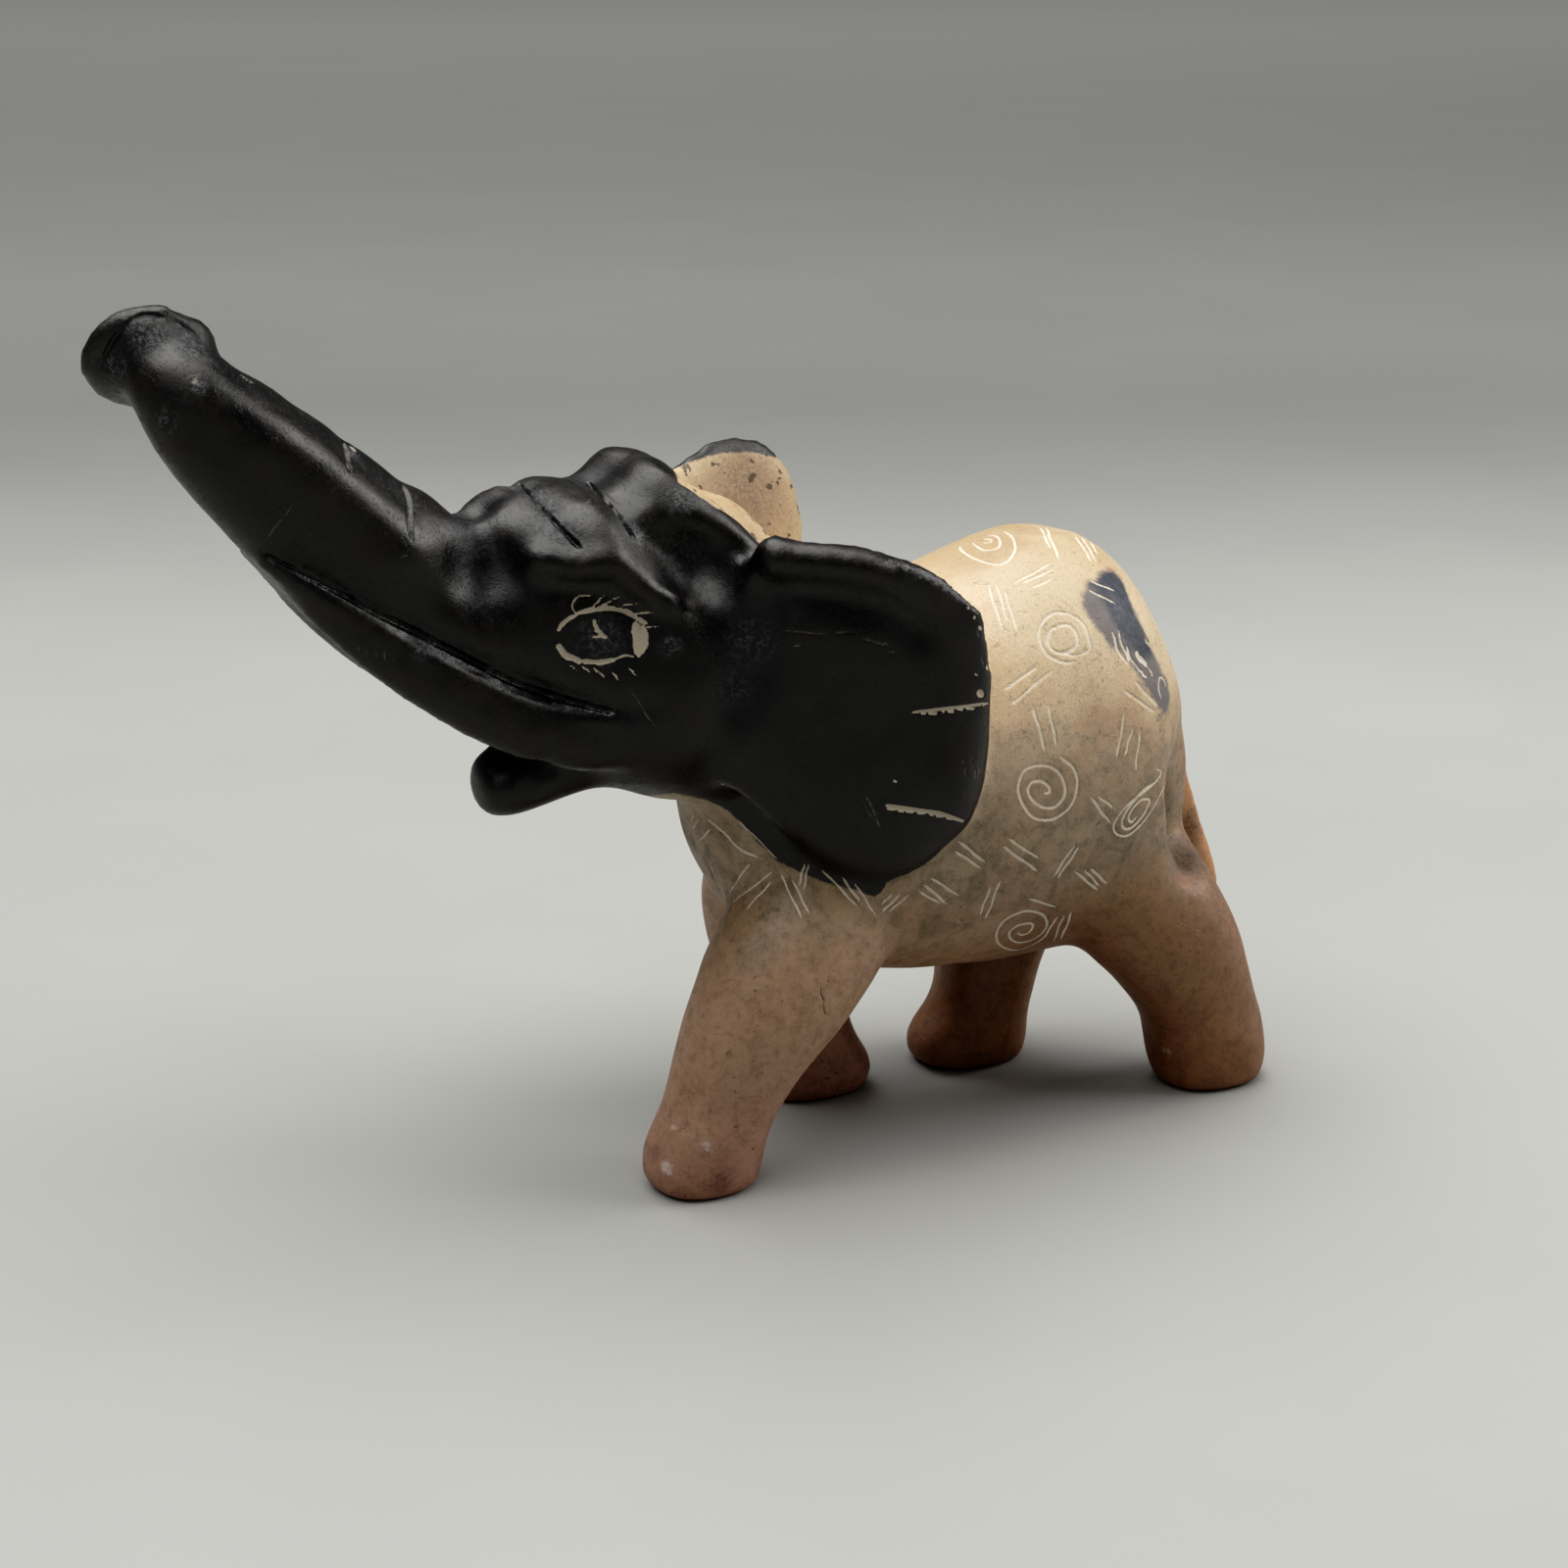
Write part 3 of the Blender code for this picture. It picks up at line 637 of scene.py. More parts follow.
# %% Turn every mark into samples on the stone
PIXEL = 0.163  # mm on the stone for one step of the 1600 frame, at the middle distance
SPACING = 0.7  # the same steps, between two samples
JUMP = 2.5  # mm
PALE, DARK, SCUFF_AND_HIGHLIGHT = 0, 1, 2
samples = {PALE: [], DARK: [], SCUFF_AND_HIGHLIGHT: []}


def smooth_line(line):
    """Rounds a line of a few steps into many points, passing through each of its own."""
    knots = walk(line)
    if len(knots) < 3:
        return knots[0] + np.linspace(0, 1, 40)[:, None] * (knots[-1] - knots[0])
    padded = np.vstack([2 * knots[0] - knots[1], knots, 2 * knots[-1] - knots[-2]])
    made = []
    for a, b, c, d in zip(padded, padded[1:], padded[2:], padded[3:]):
        for t in np.linspace(0, 1, 12, endpoint=False):
            made.append(
                0.5 * (2 * b + (c - a) * t + (2 * a - 5 * b + 4 * c - d) * t**2
                       + (3 * b - a - 3 * c + d) * t**3)
            )
    return np.array(made + [knots[-1]])


def resample(line, gap):
    """Points of a line at one even distance."""
    steps = np.linalg.norm(np.diff(line, axis=0), axis=1)
    along = np.concatenate([[0], np.cumsum(steps)])
    places = np.linspace(0, along[-1], max(3, int(along[-1] / gap)))
    return np.stack([np.interp(places, along, line[:, k]) for k in (0, 1)], axis=1)


def cut_line(kind, line, half_width, depth, blunt=0.0, other_side=None):
    """Samples one line of the picture. other_side is the shift of its mirrored twin."""
    spots = resample(smooth_line(line), SPACING)
    share = np.linspace(0, 1, len(spots))
    from_end = np.minimum(share, 1 - share) * len(spots) * SPACING
    force = np.clip(0.45 + from_end / 9, blunt, 1) * (1 + 0.12 * math.sin(rng.uniform(0, 6)))
    wobble = rng.uniform(0, 6, 2)
    last = None
    for (across, down), f, s in zip(spots, force, share):
        point, facing = seen_at(across + 0.5 * math.sin(9 * s + wobble[0]), down)
        before, last = last, point
        if point is None or (before is not None and np.linalg.norm(point - before) > JUMP):
            continue  # the line left the stone, or leapt to another part of it
        width = half_width * PIXEL * f * (1 + 0.08 * math.sin(14 * s + wobble[1]))
        samples[kind].append((*point, width, depth * f))
        if other_side is not None and abs(point[1]) > 13:
            twin, _ = mirrored(point, facing, other_side)
            if twin is not None:
                samples[kind].append((*twin, width, depth * f))


SHIFTED, SAME_PLACE = (3.0, -1.5), (0, 0)
for number, stroke in enumerate(BODY_STROKES):
    twin_shift = SHIFTED if number % 4 != 2 and number < 35 else None
    cut_line(PALE, stroke, 1.45, 0.26, other_side=twin_shift)
for stroke in CHEST_STROKES:
    cut_line(PALE, stroke, 1.25, 0.2, other_side=(0.5, 0.5))
for number, line in enumerate(CURVED_MARKS):
    cut_line(PALE, line, 1.5, 0.26, other_side=SHIFTED if number < 14 else None)
for line, half_width in EYE_MARKS:
    cut_line(PALE, line, half_width, 0.22, blunt=0.85, other_side=SAME_PLACE)
for stroke in LASHES:
    cut_line(PALE, stroke, 1.2, 0.14, blunt=0.6, other_side=SAME_PLACE)
for line, half_width in NOTCHES:
    cut_line(PALE, line, half_width, 0.3, blunt=0.8, other_side=SAME_PLACE)
for line, half_width in FLECKS:
    cut_line(PALE, line, half_width, 0.1, blunt=0.8)
for line, half_width, depth in KNIFE_CUTS:
    cut_line(DARK, line, half_width, depth, other_side=SAME_PLACE)
for stroke in SCUFFS:
    cut_line(SCUFF_AND_HIGHLIGHT, stroke, 1.2, 0.08)
# the painted highlight lines take the scuffs' grey
for line in PAINTED_HIGHLIGHT_EDGES:
    cut_line(SCUFF_AND_HIGHLIGHT, line, 2.0, 0.02)
print({kind: len(found) for kind, found in samples.items()}, "samples")

# %% A search tree for each kind of mark
FAR_OFF = 9.0  # half widths; said of every place that no mark is near
nearest = {}
for kind, found in samples.items():
    samples[kind] = np.array(found)
    nearest[kind] = KDTree(len(found))
    for number, sample in enumerate(found):
        nearest[kind].insert(sample[:3], number)
    nearest[kind].balance()


def reach_of(kind, places):
    """For each place: how many half widths it is from the nearest line, and its depth."""
    share, depth = np.full(len(places), FAR_OFF), np.zeros(len(places))
    for number, place in enumerate(places):
        _, index, distance = nearest[kind].find(place)
        if distance < 4.0:
            share[number] = min(FAR_OFF, distance / samples[kind][index, 3])
            depth[number] = samples[kind][index, 4]
    return share, depth


print("search trees are ready")

# %% [markdown]
# ## Finer faces where the knife went
# A cut three quarters of a millimetre wide would fall between the skin's points. Making
# the whole skin finer would cost a million faces. Instead only the faces near a line are
# split, twice, and the new points are smoothed so that they lie on the round form.

# %% Split the faces near the lines
SPLIT_REACH = (0.75, 0.28)  # mm from the edge of a cut, first and second round
form = bmesh.new()
form.from_mesh(skin)
for extra in SPLIT_REACH[: 2]:
    form.verts.ensure_lookup_table()
    places = [v.co / MM for v in form.verts]
    close = np.zeros(len(places), dtype=bool)
    for kind in samples:
        for number, place in enumerate(places):
            _, index, distance = nearest[kind].find(place)
            if distance < extra + samples[kind][index, 3]:
                close[number] = True
    chosen = [e for e in form.edges if close[e.verts[0].index] or close[e.verts[1].index]]
    before = len(form.verts)
    bmesh.ops.subdivide_edges(form, edges=chosen, cuts=1, use_grid_fill=True)
    bmesh.ops.triangulate(form, faces=[f for f in form.faces if len(f.verts) > 3])
    form.verts.ensure_lookup_table()
    fresh = list(form.verts)[before:]
    for _ in range(3):
        bmesh.ops.smooth_vert(
            form, verts=fresh, factor=0.5, use_axis_x=True, use_axis_y=True, use_axis_z=True
        )
form.to_mesh(skin)
form.free()
points, normals, edges = arrays_of(skin)
print("skin now has", len(skin.polygons), "triangles")

# %% Cut the marks
pale_share, pale_depth = reach_of(PALE, points)
dark_share, dark_depth = reach_of(DARK, points)
scuff_and_highlight_share, scuff_and_highlight_depth = reach_of(SCUFF_AND_HIGHLIGHT, points)


def groove(share, depth):
    """How far a point goes in: a rounded V with a low lip pushed up beside it."""
    lip = 0.10 * np.exp(-((share - 1.35) ** 2) / 0.08)
    return depth * (np.clip(1 - share, 0, 1) ** 0.8 - lip)


pale_groove = groove(pale_share, pale_depth)
going_in = np.maximum.reduce(
    [pale_groove, groove(dark_share, dark_depth), groove(scuff_and_highlight_share, scuff_and_highlight_depth)]
)
going_in += np.minimum(pale_groove, 0)
points -= normals * going_in[:, None]
print("deepest cut", round(going_in.max(), 2), "mm")

# %% [markdown]
# ## Where the black dye lies
# The dye covers the head, the trunk and the outer face of each ear. The backs of the
# ears, the nape and the body stayed cream. The border follows the form: a plane across the
# neck, an edge along the chest, the mid thickness of each ear, and the rims of the ears.
# Each point gets its distance inside that border, so it stays crisp between two points.

# %% Distance inside the dyed part, in mm
NECK = -8.8
# the height of the chest's edge at each x, then the ears: x, how far out, top and bottom
CHEST_EDGE = [
    (-18, 40), (-16.5, 64.5), (-13.5, 65.6), (-6.6, 62.7), (-4.2, 61.3), (-2.7, 59.6),
    (-0.6, 56.5), (1.5, 53.5), (4.3, 52.1), (7.6, 50.8), (11.1, 49.2), (16.1, 47.8), (60, 47.8),
]
EAR_MIDDLE = [
    (-13.3, 10.3, 94, 72), (-8.6, 13.2, 100, 68), (-1.5, 14.3, 106, 60), (2.1, 14.2, 106.4, 58),
    (5.0, 18.5, 106, 55), (8.7, 24.8, 105.6, 53.2), (16.7, 28.0, 105, 51.2),
    (23.2, 29.0, 100, 54.5), (27.5, 29.6, 93, 61.5), (29.7, 29.9, 84, 70),
]
NEAR_EAR_TOP = [(0.7, 106.4), (8.7, 105.6), (16.7, 103), (23.2, 98.6), (27.5, 91), (29.7, 82.5)]
# on the far ear's back the dye ends just under the rim, along this line in the picture
FAR_RIM = [(701, 475), (5, -4), (9, -3), (20, -5), (24, -2), (20, 2), (14, 4), (9, 9), (5, 12)]
EAR_LEAN = 0.075
x, y, z = points.T
far_rim = [seen_at(*spot)[0] for spot in walk(FAR_RIM)]
far_rim = np.array([spot for spot in far_rim if spot is not None and spot[1] > 8])
far_rim = far_rim[np.argsort(far_rim[:, 0])]
print("far ear's rim runs from", np.round(far_rim[0], 1), "to", np.round(far_rim[-1], 1))
shifted_edge = close_set(NEAR_EAR_EDGE) + (EAR_PUSH, 0, 0)
x = x - EAR_PUSH * strength(shifted_edge, EDGE_RADIUS)[:, 0]  # as it was before the push
chest = np.interp(x, *np.array(CHEST_EDGE).T)
uneven_edge = 0.5 * np.sin(x * 0.9 + z * 0.4) + 0.35 * np.sin(z * 1.3 - y * 0.7)
uneven_edge *= np.where(z > 85, 0.3, 1.0)
neck = NECK - 0.4 * np.clip(abs(y) - 2, 0, 12)
dyed = np.minimum(neck - x, z - chest) + uneven_edge
for hand in (-1, 1):
    rows = np.array(EAR_MIDDLE)
    across, top, bottom = (np.interp(x, rows[:, 0], rows[:, k]) for k in (1, 2, 3))
    middle_of_ear = across + EAR_LEAN * (z - (top + bottom) / 2)
    # below the ear the dye ran a little way on to the chest
    spill = 1.3 + 3.2 * np.clip((68 - z) / 8, 0, 1)
    outside = hand * y - middle_of_ear + spill
    if hand > 0:
        turned = np.clip((0.35 - normals[:, 1]) / 0.3, 0, 1)
        over_rim = np.minimum(z - np.interp(x, far_rim[:, 0], far_rim[:, 2]), y - across + 5)
        outside += turned * (np.minimum(over_rim, x) - outside)
    lower_rim = np.where(x > 16, np.maximum(chest, bottom - 0.6), chest)
    along = np.minimum(np.minimum(x + 18, 31.5 - x), z - lower_rim + 0.4)
    dyed = np.maximum(dyed, np.minimum(outside, along) + 0.4 * uneven_edge)
    if hand < 0:
        over_rim = z - np.interp(x, *np.array(NEAR_EAR_TOP).T) + 1.8
        on_ear = np.minimum(np.minimum(x - 1, 31.5 - x), -y - np.maximum(across - 4, 12))
        dyed = np.maximum(dyed, np.minimum(over_rim, on_ear) + 0.5 * uneven_edge)
dyed = np.clip(dyed, -6, 6)
x, y, z = points.T
print("dyed share of the points:", round((dyed > 0).mean(), 2))

# %% [markdown]
# ## The blue patch
# On the near flank a leaf-shaped patch was dyed blue over the cream. Its rear edge is
# sharp and its front edge fades. It is written as an outline in the side view.

# %% Distance inside the patch, in mm
PATCH = [(1129, 578), (6, 1), (6, 8), (8, 11), (7, 17), (7, 18), (6, 15), (9, 18), (7, 16),
    (7, 14), (3, 17), (-3, 14), (-3, 4), (-4, -3), (-10, -15), (-7, -14), (-11, -15), (-12, -13),
    (-6, -4), (-9, -7), (-9, -12), (-10, -15), (-7, -14), (-2, -15), (5, -10), (9, -6),
    (7, -6)]
DEEP_PATCH = PATCH[:7] + [(7, 14), (-10, 6), (-14, -13), (-12, -21), (-10, -20), (-12, -18)]


def inside_outline(px, pz, outline):
    """Distance to an outline, positive inside it."""
    nearest_edge, winding = np.full(len(px), 1e9), np.zeros(len(px), dtype=bool)
    for (ax, az), (bx, bz) in zip(outline, np.roll(outline, -1, axis=0)):
        run, rise = bx - ax, bz - az
        share = np.clip(((px - ax) * run + (pz - az) * rise) / (run**2 + rise**2), 0, 1)
        gap = np.hypot(px - ax - share * run, pz - az - share * rise)
        nearest_edge = np.minimum(nearest_edge, gap)
        crosses = ((az > pz) != (bz > pz)) & (px < run * (pz - az) / (rise or 1e-9) + ax)
        winding ^= crosses
    return np.where(winding, nearest_edge, -nearest_edge)


def side_view(outline):
    """The outline as (x, z) on the near flank."""
    return np.array([seen_at(*spot)[0][[0, 2]] for spot in walk(outline)])


patch, deep = (
    np.clip(np.where(y < 0, inside_outline(x, z, side_view(outline)), -6), -6, 6)
    for outline in (PATCH, DEEP_PATCH)
)
print("points in the patch:", (patch > 0).sum())

# %% [markdown]
# ## Rough, pitted and shaded places
# The stone was left rough where the rasp could not reach: under the cap of the trunk, in
# the brow, at the ear's root and beside the tail. Beside the tail the spots also carry
# painted shade for the hollow there. Each rough place is a spot with a size.

# %% Mark the rough places
# each spot: where it is in the picture, its size in mm and how strong it is
# the two spots beside the tail, at 1212 and 1216 across, also hold painted shade for the hollow
# there
ROUGH_AND_SHADED_SPOTS = [
    (548, 506, 3.4, 1), (558, 520, 2.8, 1), (577, 540, 2.4, 1), (640, 536, 1.8, 0.7),
    (694, 512, 2.6, 1), (692, 566, 6.0, 0.35), (768, 655, 4.5, 0.5), (748, 700, 3.5, 0.4),
    (150, 342, 3.8, 0.9), (116, 376, 3.2, 0.8), (194, 345, 3.2, 0.7), (170, 430, 2.0, 1),
    (198, 397, 1.8, 1), (684, 659, 1.8, 0.9), (613, 650, 4.6, 0.6), (610, 664, 3.6, 0.5),
    (1212, 846, 4.2, 1), (1216, 874, 4.4, 1), (760, 490, 9.0, 0.4), (430, 660, 2.5, 0.5),
    (736, 1206, 2.8, 0.8), (668, 1176, 1.6, 0.7), (482, 545, 5.0, 0.4), (358, 462, 1.6, 0.9),
]
CHIPS = [
    (680, 1191, 1.7, 0.8), (688, 1150, 1.1, 0.7), (722, 1170, 1.5, 0.6), (712, 1130, 1.0, 0.4),
    (1190, 1072, 1.5, 0.5), (598, 511, 0.7, 0.9), (614, 554, 0.6, 0.9), (198, 392, 0.7, 0.9),
    (360, 458, 0.9, 0.8), (694, 511, 1.6, 0.3), (1200, 726, 0.5, 0.8),
]


def spots_on(places, on_both):
    """How strongly each point belongs to round spots seen in the picture."""
    found = np.zeros(len(points))
    for across, down, size, strong in places:
        spot, facing = seen_at(across, down)
        if spot is None:
            print("no stone at", across, down)
            continue
        twin = mirrored(spot, facing)[0] if on_both else None
        for middle_of_spot in [spot] if twin is None else [spot, twin]:
            gap = np.linalg.norm(points - middle_of_spot, axis=1)
            found = np.maximum(found, strong * np.clip(1.15 - gap / size, 0, 1))
    return found


rough_and_shaded = spots_on(ROUGH_AND_SHADED_SPOTS, True)
chip = spots_on(CHIPS, False)
print("rough points:", (rough_and_shaded > 0.3).sum(), "chipped points:", (chip > 0.1).sum())

# %% Keep the finished form and its numbers on the skin
set_points()
for name, values in {
    "pale": pale_share, "dark": dark_share, "scuff_and_highlight": scuff_and_highlight_share, "dyed": dyed,
    "patch": patch, "deep": deep, "rough_and_shaded": rough_and_shaded, "chip": chip,
}.items():
    keep(name, values)
skin.shade_smooth()
skin.update()
print("numbers kept on the skin:", [a.name for a in skin.attributes if a.data_type == "FLOAT"])

# %% [markdown]
# ## The finish: one stone, many colours
# The whole figure is one stone, so it gets one material. The numbers kept on the skin
# choose between its colours. First come the shared inputs: where a point is, in mm, how
# fine and coarse clouds vary there, and the numbers themselves.

# %% Shared inputs of the finish
soapstone, graph, shader = new_finish("soapstone")
metres = put(graph, "ShaderNodeTexCoord").outputs["Object"]
place = put(
    graph, "ShaderNodeVectorMath", {0: metres, 1: (1000, 1000, 1000)}, operation="MULTIPLY"
).outputs[0]
split = put(graph, "ShaderNodeSeparateXYZ", {0: place})
along_x, across_y, height = split.outputs


def kept(name):
    """A number that was kept on the skin."""
    node = put(graph, "ShaderNodeAttribute", attribute_name=name)
    return node.outputs["Fac"]


def times(first, *others):
    """The product of two or more numbers or sockets."""
    for other in others:
        first = calc(graph, "MULTIPLY", first, other)
    return first


def plus(first, second):
    return calc(graph, "ADD", first, second)


def less(first, second):
    return calc(graph, "SUBTRACT", first, second)


def larger(first, second):
    return calc(graph, "MAXIMUM", first, second)


def fade(value, start, end, low=0.0, high=1.0):
    return step(graph, value, start, end, low, high)


def lay(base, colour, *shares):
    """Lays a colour over a base, as strongly as the product of its shares."""
    return blend(graph, times(*shares), base, colour)


def darken(base, tint, *shares):
    """Multiplies a base by a tint, as strongly as the product of its shares."""
    return blend(graph, times(*shares), base, tint, "MULTIPLY")


def grain(*settings):
    """Noise that is fixed to the stone."""
    return noise(graph, place, *settings)


def thread(scale, width, stretch):
    """Thin wandering lines, where cloudy noise crosses its middle value."""
    field = grain(scale, 5.0, 0.65, stretch)
    return fade(calc(graph, "ABSOLUTE", less(field, 0.5)), width, 0.0)


coarse = grain(0.055, 3.0, 0.6, 0.6)
cloudy = grain(0.16, 5.0, 0.62, 0.8)
mottled = grain(0.42, 5.0, 0.68, 0.4)
grainy = grain(0.9, 5.0, 0.65)
dusty = grain(3.2, 3.0, 0.6)
print("finish starts with", len(graph.nodes), "nodes")

# %% [markdown]
# ### Bare stone
# Undyed soapstone is cream, with grey clouds, thin dark veins and specks of other
# minerals. It was rubbed with wax, which brings out a warmer tone. Layers of noise at
# several sizes give this, because the stone itself has structure at several sizes. The
# top is painted darker, as painted shade against the lamp above, and the lower body is
# darker and greyer, partly greyer stone and partly painted shade.

# %% Cream, clouds and veins
CREAM, WARM, GREY = (0.60, 0.485, 0.345), (0.54, 0.405, 0.27), (0.22, 0.187, 0.137)
bare = lay(CREAM, WARM, fade(coarse, 0.42, 0.66))
belly = fade(height, 84.0, 52.0)
bare = lay(bare, GREY, fade(cloudy, 0.40, 0.68), belly, 0.75)
bare = lay(bare, GREY, fade(mottled, 0.46, 0.64), belly, 0.45)
# painted shade: the top is darkened against the strong light from the lamp above
bare = darken(bare, (0.76, 0.74, 0.70), fade(height, 84.0, 99.0, 0.0, 0.9))
# darker towards the bottom of the body: partly greyer stone, partly painted shade on the lower
# sides
low_grey_and_shade = fade(plus(height, times(cloudy, 18.0)), 88.0, 60.0)
bare = darken(bare, (0.54, 0.49, 0.43), low_grey_and_shade, 0.9)
veins = times(thread(0.11, 0.014, 1.6), fade(grainy, 0.45, 0.60))
bare = lay(bare, (0.13, 0.10, 0.065), veins, 0.6)
print("clouds and veins done,", len(graph.nodes), "nodes")

# %% Fibres, specks and pits
lower_down = fade(height, 92.0, 68.0, 0.15, 1.0)
fibres = times(thread(0.34, 0.016, 1.3), fade(mottled, 0.50, 0.62), lower_down)
bare = lay(bare, (0.085, 0.065, 0.045), fibres, 0.75)
specks = fade(grain(1.15, 2.0, 0.5), 0.665, 0.73)
specks = times(specks, fade(cloudy, 0.36, 0.58), lower_down)
bare = darken(bare, (0.62, 0.56, 0.48), fade(dusty, 0.48, 0.66), 0.42)
bare = lay(bare, (0.10, 0.075, 0.05), specks, 0.6)
on_ear = times(fade(height, 84.0, 90.0), fade(along_x, 34.0, 30.0))
ear_pits = times(fade(grain(0.46, 2.0, 0.6), 0.63, 0.67), on_ear)
bare = lay(bare, (0.09, 0.065, 0.035), ear_pits, 0.85)
print("bare stone done,", len(graph.nodes), "nodes")

# %% [markdown]
# ### Stained legs and tail
# The legs were stained: pinkish brown in front, more orange behind, darker at the feet.
# The stain fades upwards over about two centimetres, with a cloudy edge. It took unevenly,
# so brown threads, dark specks and paler spots show in it.

# %% Stain by height and place
PINK, PINK_LOW = (0.395, 0.250, 0.163), (0.34, 0.178, 0.124)
TAN, TAN_LOW = (0.24, 0.127, 0.065), (0.23, 0.103, 0.045)
TAIL_TAN = (0.46, 0.255, 0.115)
edge_height = plus(height, times(less(cloudy, 0.5), 26.0))
hind = fade(along_x, 34.0, 50.0)
low_stain = fade(edge_height, 26.0, 2.0)
stain = lay(lay(PINK, PINK_LOW, low_stain), lay(TAN, TAN_LOW, low_stain), hind)
rear = times(fade(along_x, 72.0, 88.0), fade(edge_height, 84.0, 56.0))
stained = larger(fade(edge_height, 54.0, 32.0), rear)
near_middle = fade(calc(graph, "ABSOLUTE", across_y), 5.5, 3.0)
tail_stain = times(fade(along_x, 79.0, 83.0), near_middle)
stain = lay(stain, TAIL_TAN, tail_stain)
stained = larger(stained, tail_stain)
stain = darken(stain, (0.60, 0.52, 0.46), fade(mottled, 0.40, 0.68, 0.0, 0.5))
stain = darken(stain, (0.70, 0.62, 0.55), fade(grainy, 0.44, 0.62, 0.0, 0.35))
stain = lay(stain, (0.075, 0.040, 0.024), fibres, 0.7)
stain = lay(stain, (0.05, 0.028, 0.018), specks, 0.7)
ochre = times(thread(0.13, 0.008, 1.0), fade(coarse, 0.5, 0.6))
stain = lay(stain, (0.40, 0.21, 0.06), ochre, 0.6)
natural = lay(bare, stain, stained, 0.93)
chipped = fade(plus(kept("chip"), times(less(grainy, 0.5), 1.2)), 0.2, 0.6)
natural = lay(natural, (0.46, 0.37, 0.32), chipped)
print("stain done,", len(graph.nodes), "nodes")

# %% [markdown]
# ### Black dye and blue patch
# The dye is nearly black, a little brown where it is worn thin on ridges. The patch is a
# navy dye. Its front part faded to purple grey.

# %% Dyes over the stone
BLACK, WORN = (0.0032, 0.0032, 0.0035), (0.012, 0.0085, 0.006)
NAVY, FADED = (0.014, 0.020, 0.038), (0.082, 0.088, 0.118)
wear = times(fade(kept("ridge"), 0.1, 0.9), fade(cloudy, 0.35, 0.65))
brownness = larger(wear, fade(coarse, 0.48, 0.75, 0.0, 0.6))
dye = lay(BLACK, WORN, brownness)
dye_cover = fade(plus(kept("dyed"), times(less(grainy, 0.5), 1.0)), -0.25, 0.25)
ragged = times(less(mottled, 0.5), 2.2)
patch_cover = fade(plus(kept("patch"), ragged), -0.3, 0.9)
deepness = fade(plus(kept("deep"), ragged), -2.2, 0.6)
navy = lay(FADED, NAVY, deepness)
navy = lay(navy, (0.085, 0.095, 0.13), fade(grainy, 0.45, 0.65, 0.0, 0.35))
patch_cover = times(patch_cover, fade(deepness, 0.0, 1.0, 0.78, 1.0))
natural = lay(natural, navy, patch_cover)
coloured = lay(natural, dye, dye_cover)
print("dyes done,", len(graph.nodes), "nodes")

# %% [markdown]
# ### Cuts and rough places
# A cut shows fresh stone, paler than the rubbed skin. Knife cuts on the head were made
# before the dye, so they are darker than it. Rough places are grey and dull, and darker on
# bare stone; beside the tail that darkness is painted shade in the hollow.

# %% Cuts over the dyes
pale_cover = fade(plus(kept("pale"), times(less(dusty, 0.5), 0.6)), 1.05, 0.70)
dark_cover = fade(kept("dark"), 1.15, 0.3)
scuff_and_highlight_cover = times(fade(kept("scuff_and_highlight"), 1.1, 0.4), fade(grainy, 0.42, 0.58, 0.05, 0.7))
rough_and_shaded_here = kept("rough_and_shaded")
flecks = fade(grain(1.25, 6.0, 0.75), 0.47, 0.60)
flakes_and_shade = times(rough_and_shaded_here, flecks)
on_bare = less(1.0, dye_cover)
coloured = lay(coloured, (0.125, 0.132, 0.138), flakes_and_shade, dye_cover, 0.9)
# rough spots on bare stone are darkened: dark pits on the feet, and painted shade in the hollow
# beside the tail
coloured = darken(coloured, (0.32, 0.27, 0.27), rough_and_shaded_here, on_bare, 0.6)
coloured = lay(coloured, (0.07, 0.042, 0.035), flakes_and_shade, on_bare, 0.85)
coloured = lay(coloured, (0.30, 0.27, 0.23), chipped, dye_cover)
dark_stone = lay((0.028, 0.020, 0.014), (0.003, 0.003, 0.0033), dye_cover)
coloured = lay(coloured, dark_stone, dark_cover, 0.9)
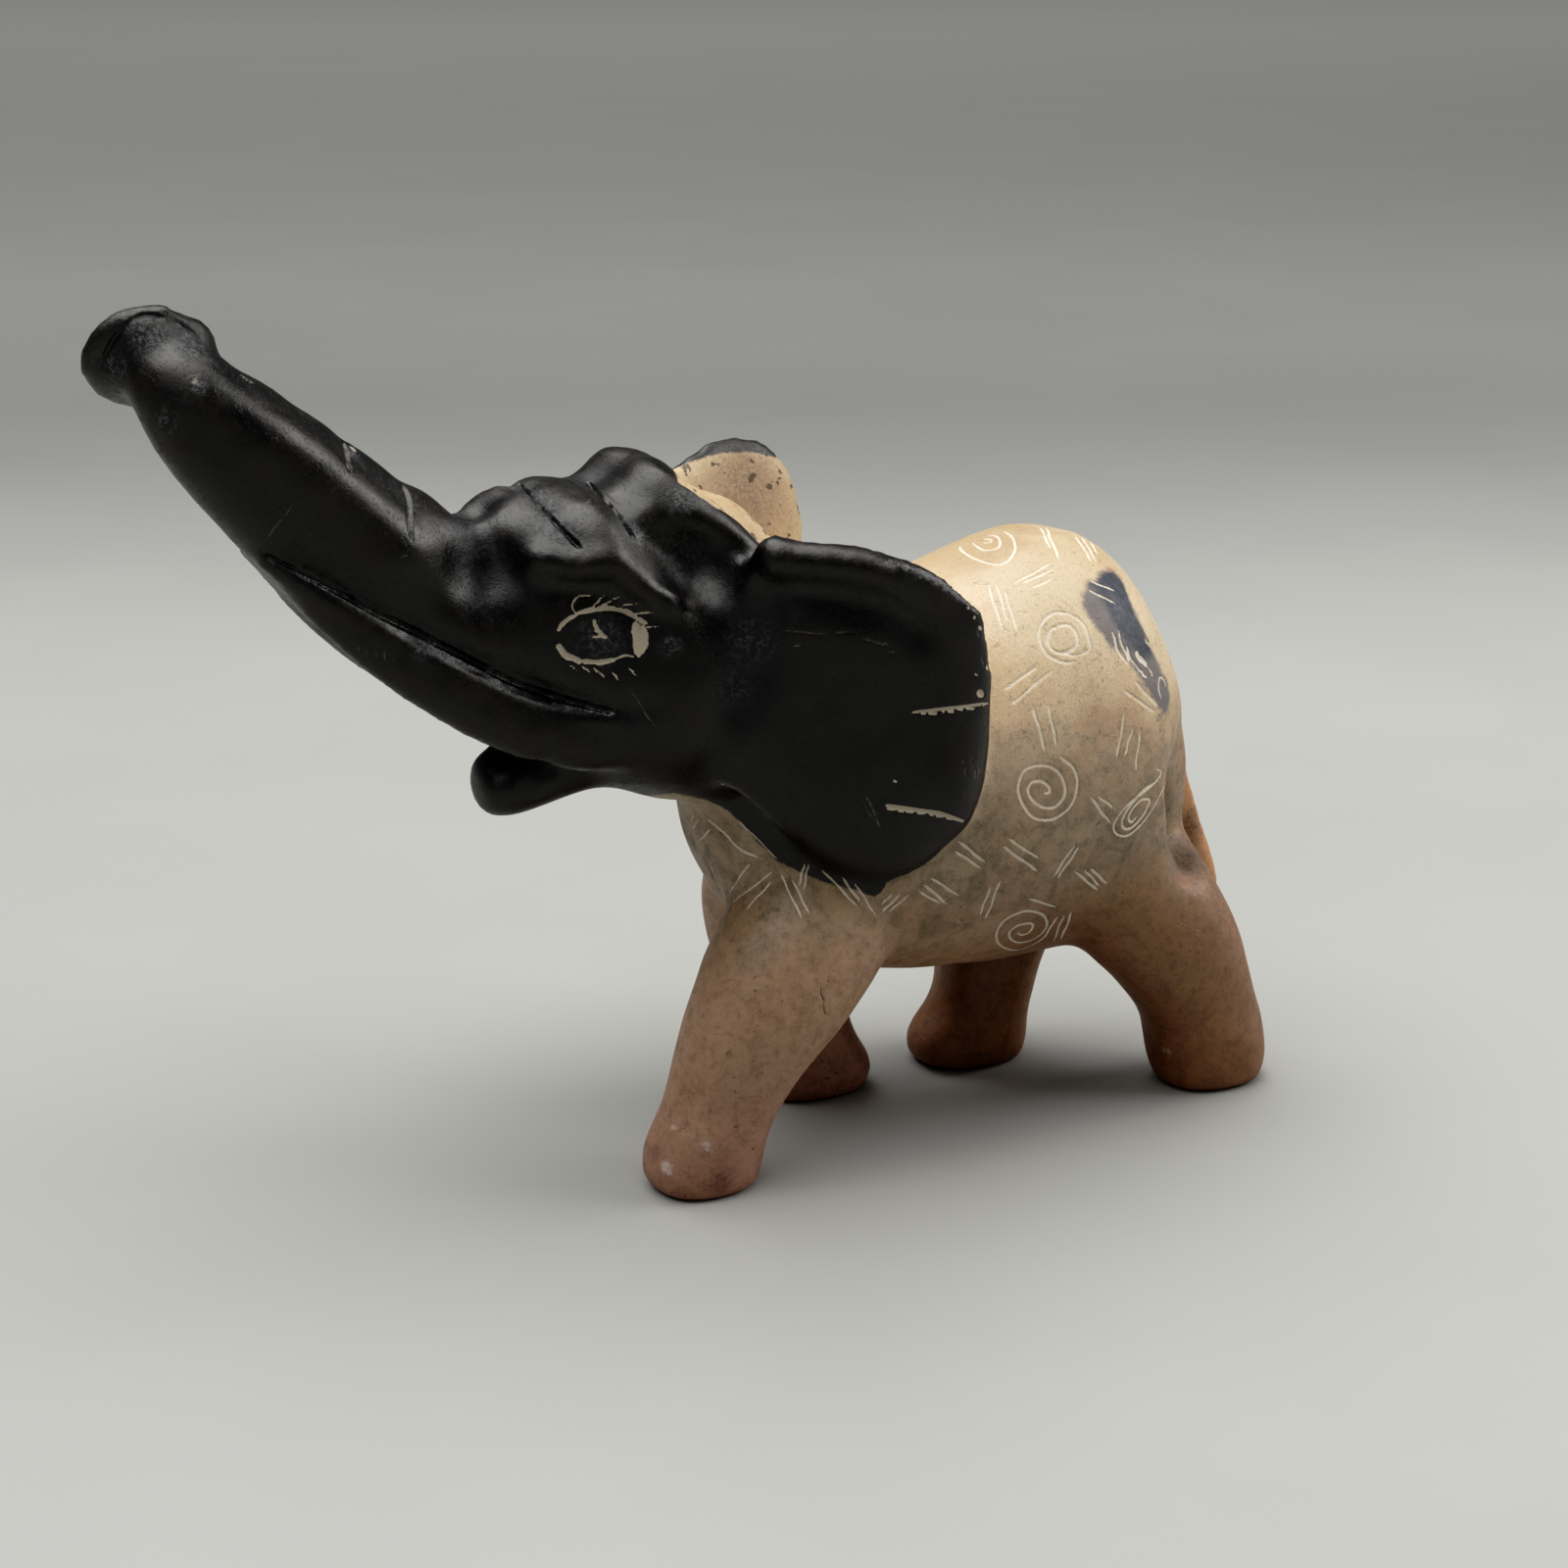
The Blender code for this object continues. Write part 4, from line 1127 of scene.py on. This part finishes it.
# grey for the real scuffs, and painted highlight along two lit edges
coloured = lay(coloured, (0.13, 0.122, 0.11), scuff_and_highlight_cover)
fresh_stone = lay((0.74, 0.67, 0.56), (0.52, 0.455, 0.345), dye_cover)
coloured = lay(coloured, fresh_stone, pale_cover, 0.86)
graph.links.new(coloured, shader.inputs["Base Color"])
print("colours done,", len(graph.nodes), "nodes")

# %% [markdown]
# ### Gloss and fine relief
# Hand-rubbed stone has a satin gloss, broken by fine scratches of the last wet paper. The
# scratches run many ways. They are noise that is stretched long, turned two ways. Only
# the bottom of a cut and the rough places are dull.

# %% Roughness and bump
def scratches(turn, scale):
    """Long thin lines, from noise squeezed on one axis."""
    sockets = {"Vector": place, "Rotation": turn, "Scale": (scale, 0.035, scale)}
    squeezed = put(graph, "ShaderNodeMapping", sockets).outputs[0]
    return fade(noise(graph, squeezed, 1.0, 2.0, 0.5), 0.56, 0.72)


crossing = scratches((1.1, -0.4, -0.8), 1.8)
fine_lines = larger(scratches((0.3, 0.9, 0.5), 2.2), crossing)
gloss = plus(fade(cloudy, 0.3, 0.7, 0.34, 0.46), times(on_bare, 0.12))
gloss = plus(gloss, times(fine_lines, 0.14))
dullness = larger(pale_cover, times(rough_and_shaded_here, 0.7))
gloss = plus(gloss, times(dullness, 0.38))
graph.links.new(gloss, shader.inputs["Roughness"])

pits = fade(grain(0.75, 3.0, 0.55), 0.66, 0.74)
relief = times(less(cloudy, 0.5), 0.12)
relief = plus(relief, times(less(mottled, 0.5), 0.05))
relief = plus(relief, times(less(dusty, 0.5), 0.012))
relief = less(relief, times(fine_lines, 0.016))
pits = times(pits, fade(on_bare, 0.0, 1.0, 0.08, 0.6))
pits = larger(pits, times(ear_pits, on_bare))
relief = less(relief, times(pits, 0.12))
broken = grain(1.1, 6.0, 0.7)
relief = plus(relief, times(broken, rough_and_shaded_here, 0.38))
bump = put(graph, "ShaderNodeBump", {"Strength": 1.0, "Distance": MM, "Height": relief})
graph.links.new(bump.outputs[0], shader.inputs["Normal"])
shader.inputs["Specular IOR Level"].default_value = 0.8
skin.materials.append(soapstone)
print("finish has", len(graph.nodes), "nodes")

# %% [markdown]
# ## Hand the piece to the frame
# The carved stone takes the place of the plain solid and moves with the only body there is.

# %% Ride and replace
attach(stone, "root")
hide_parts("elephant")
bpy.context.view_layer.update()
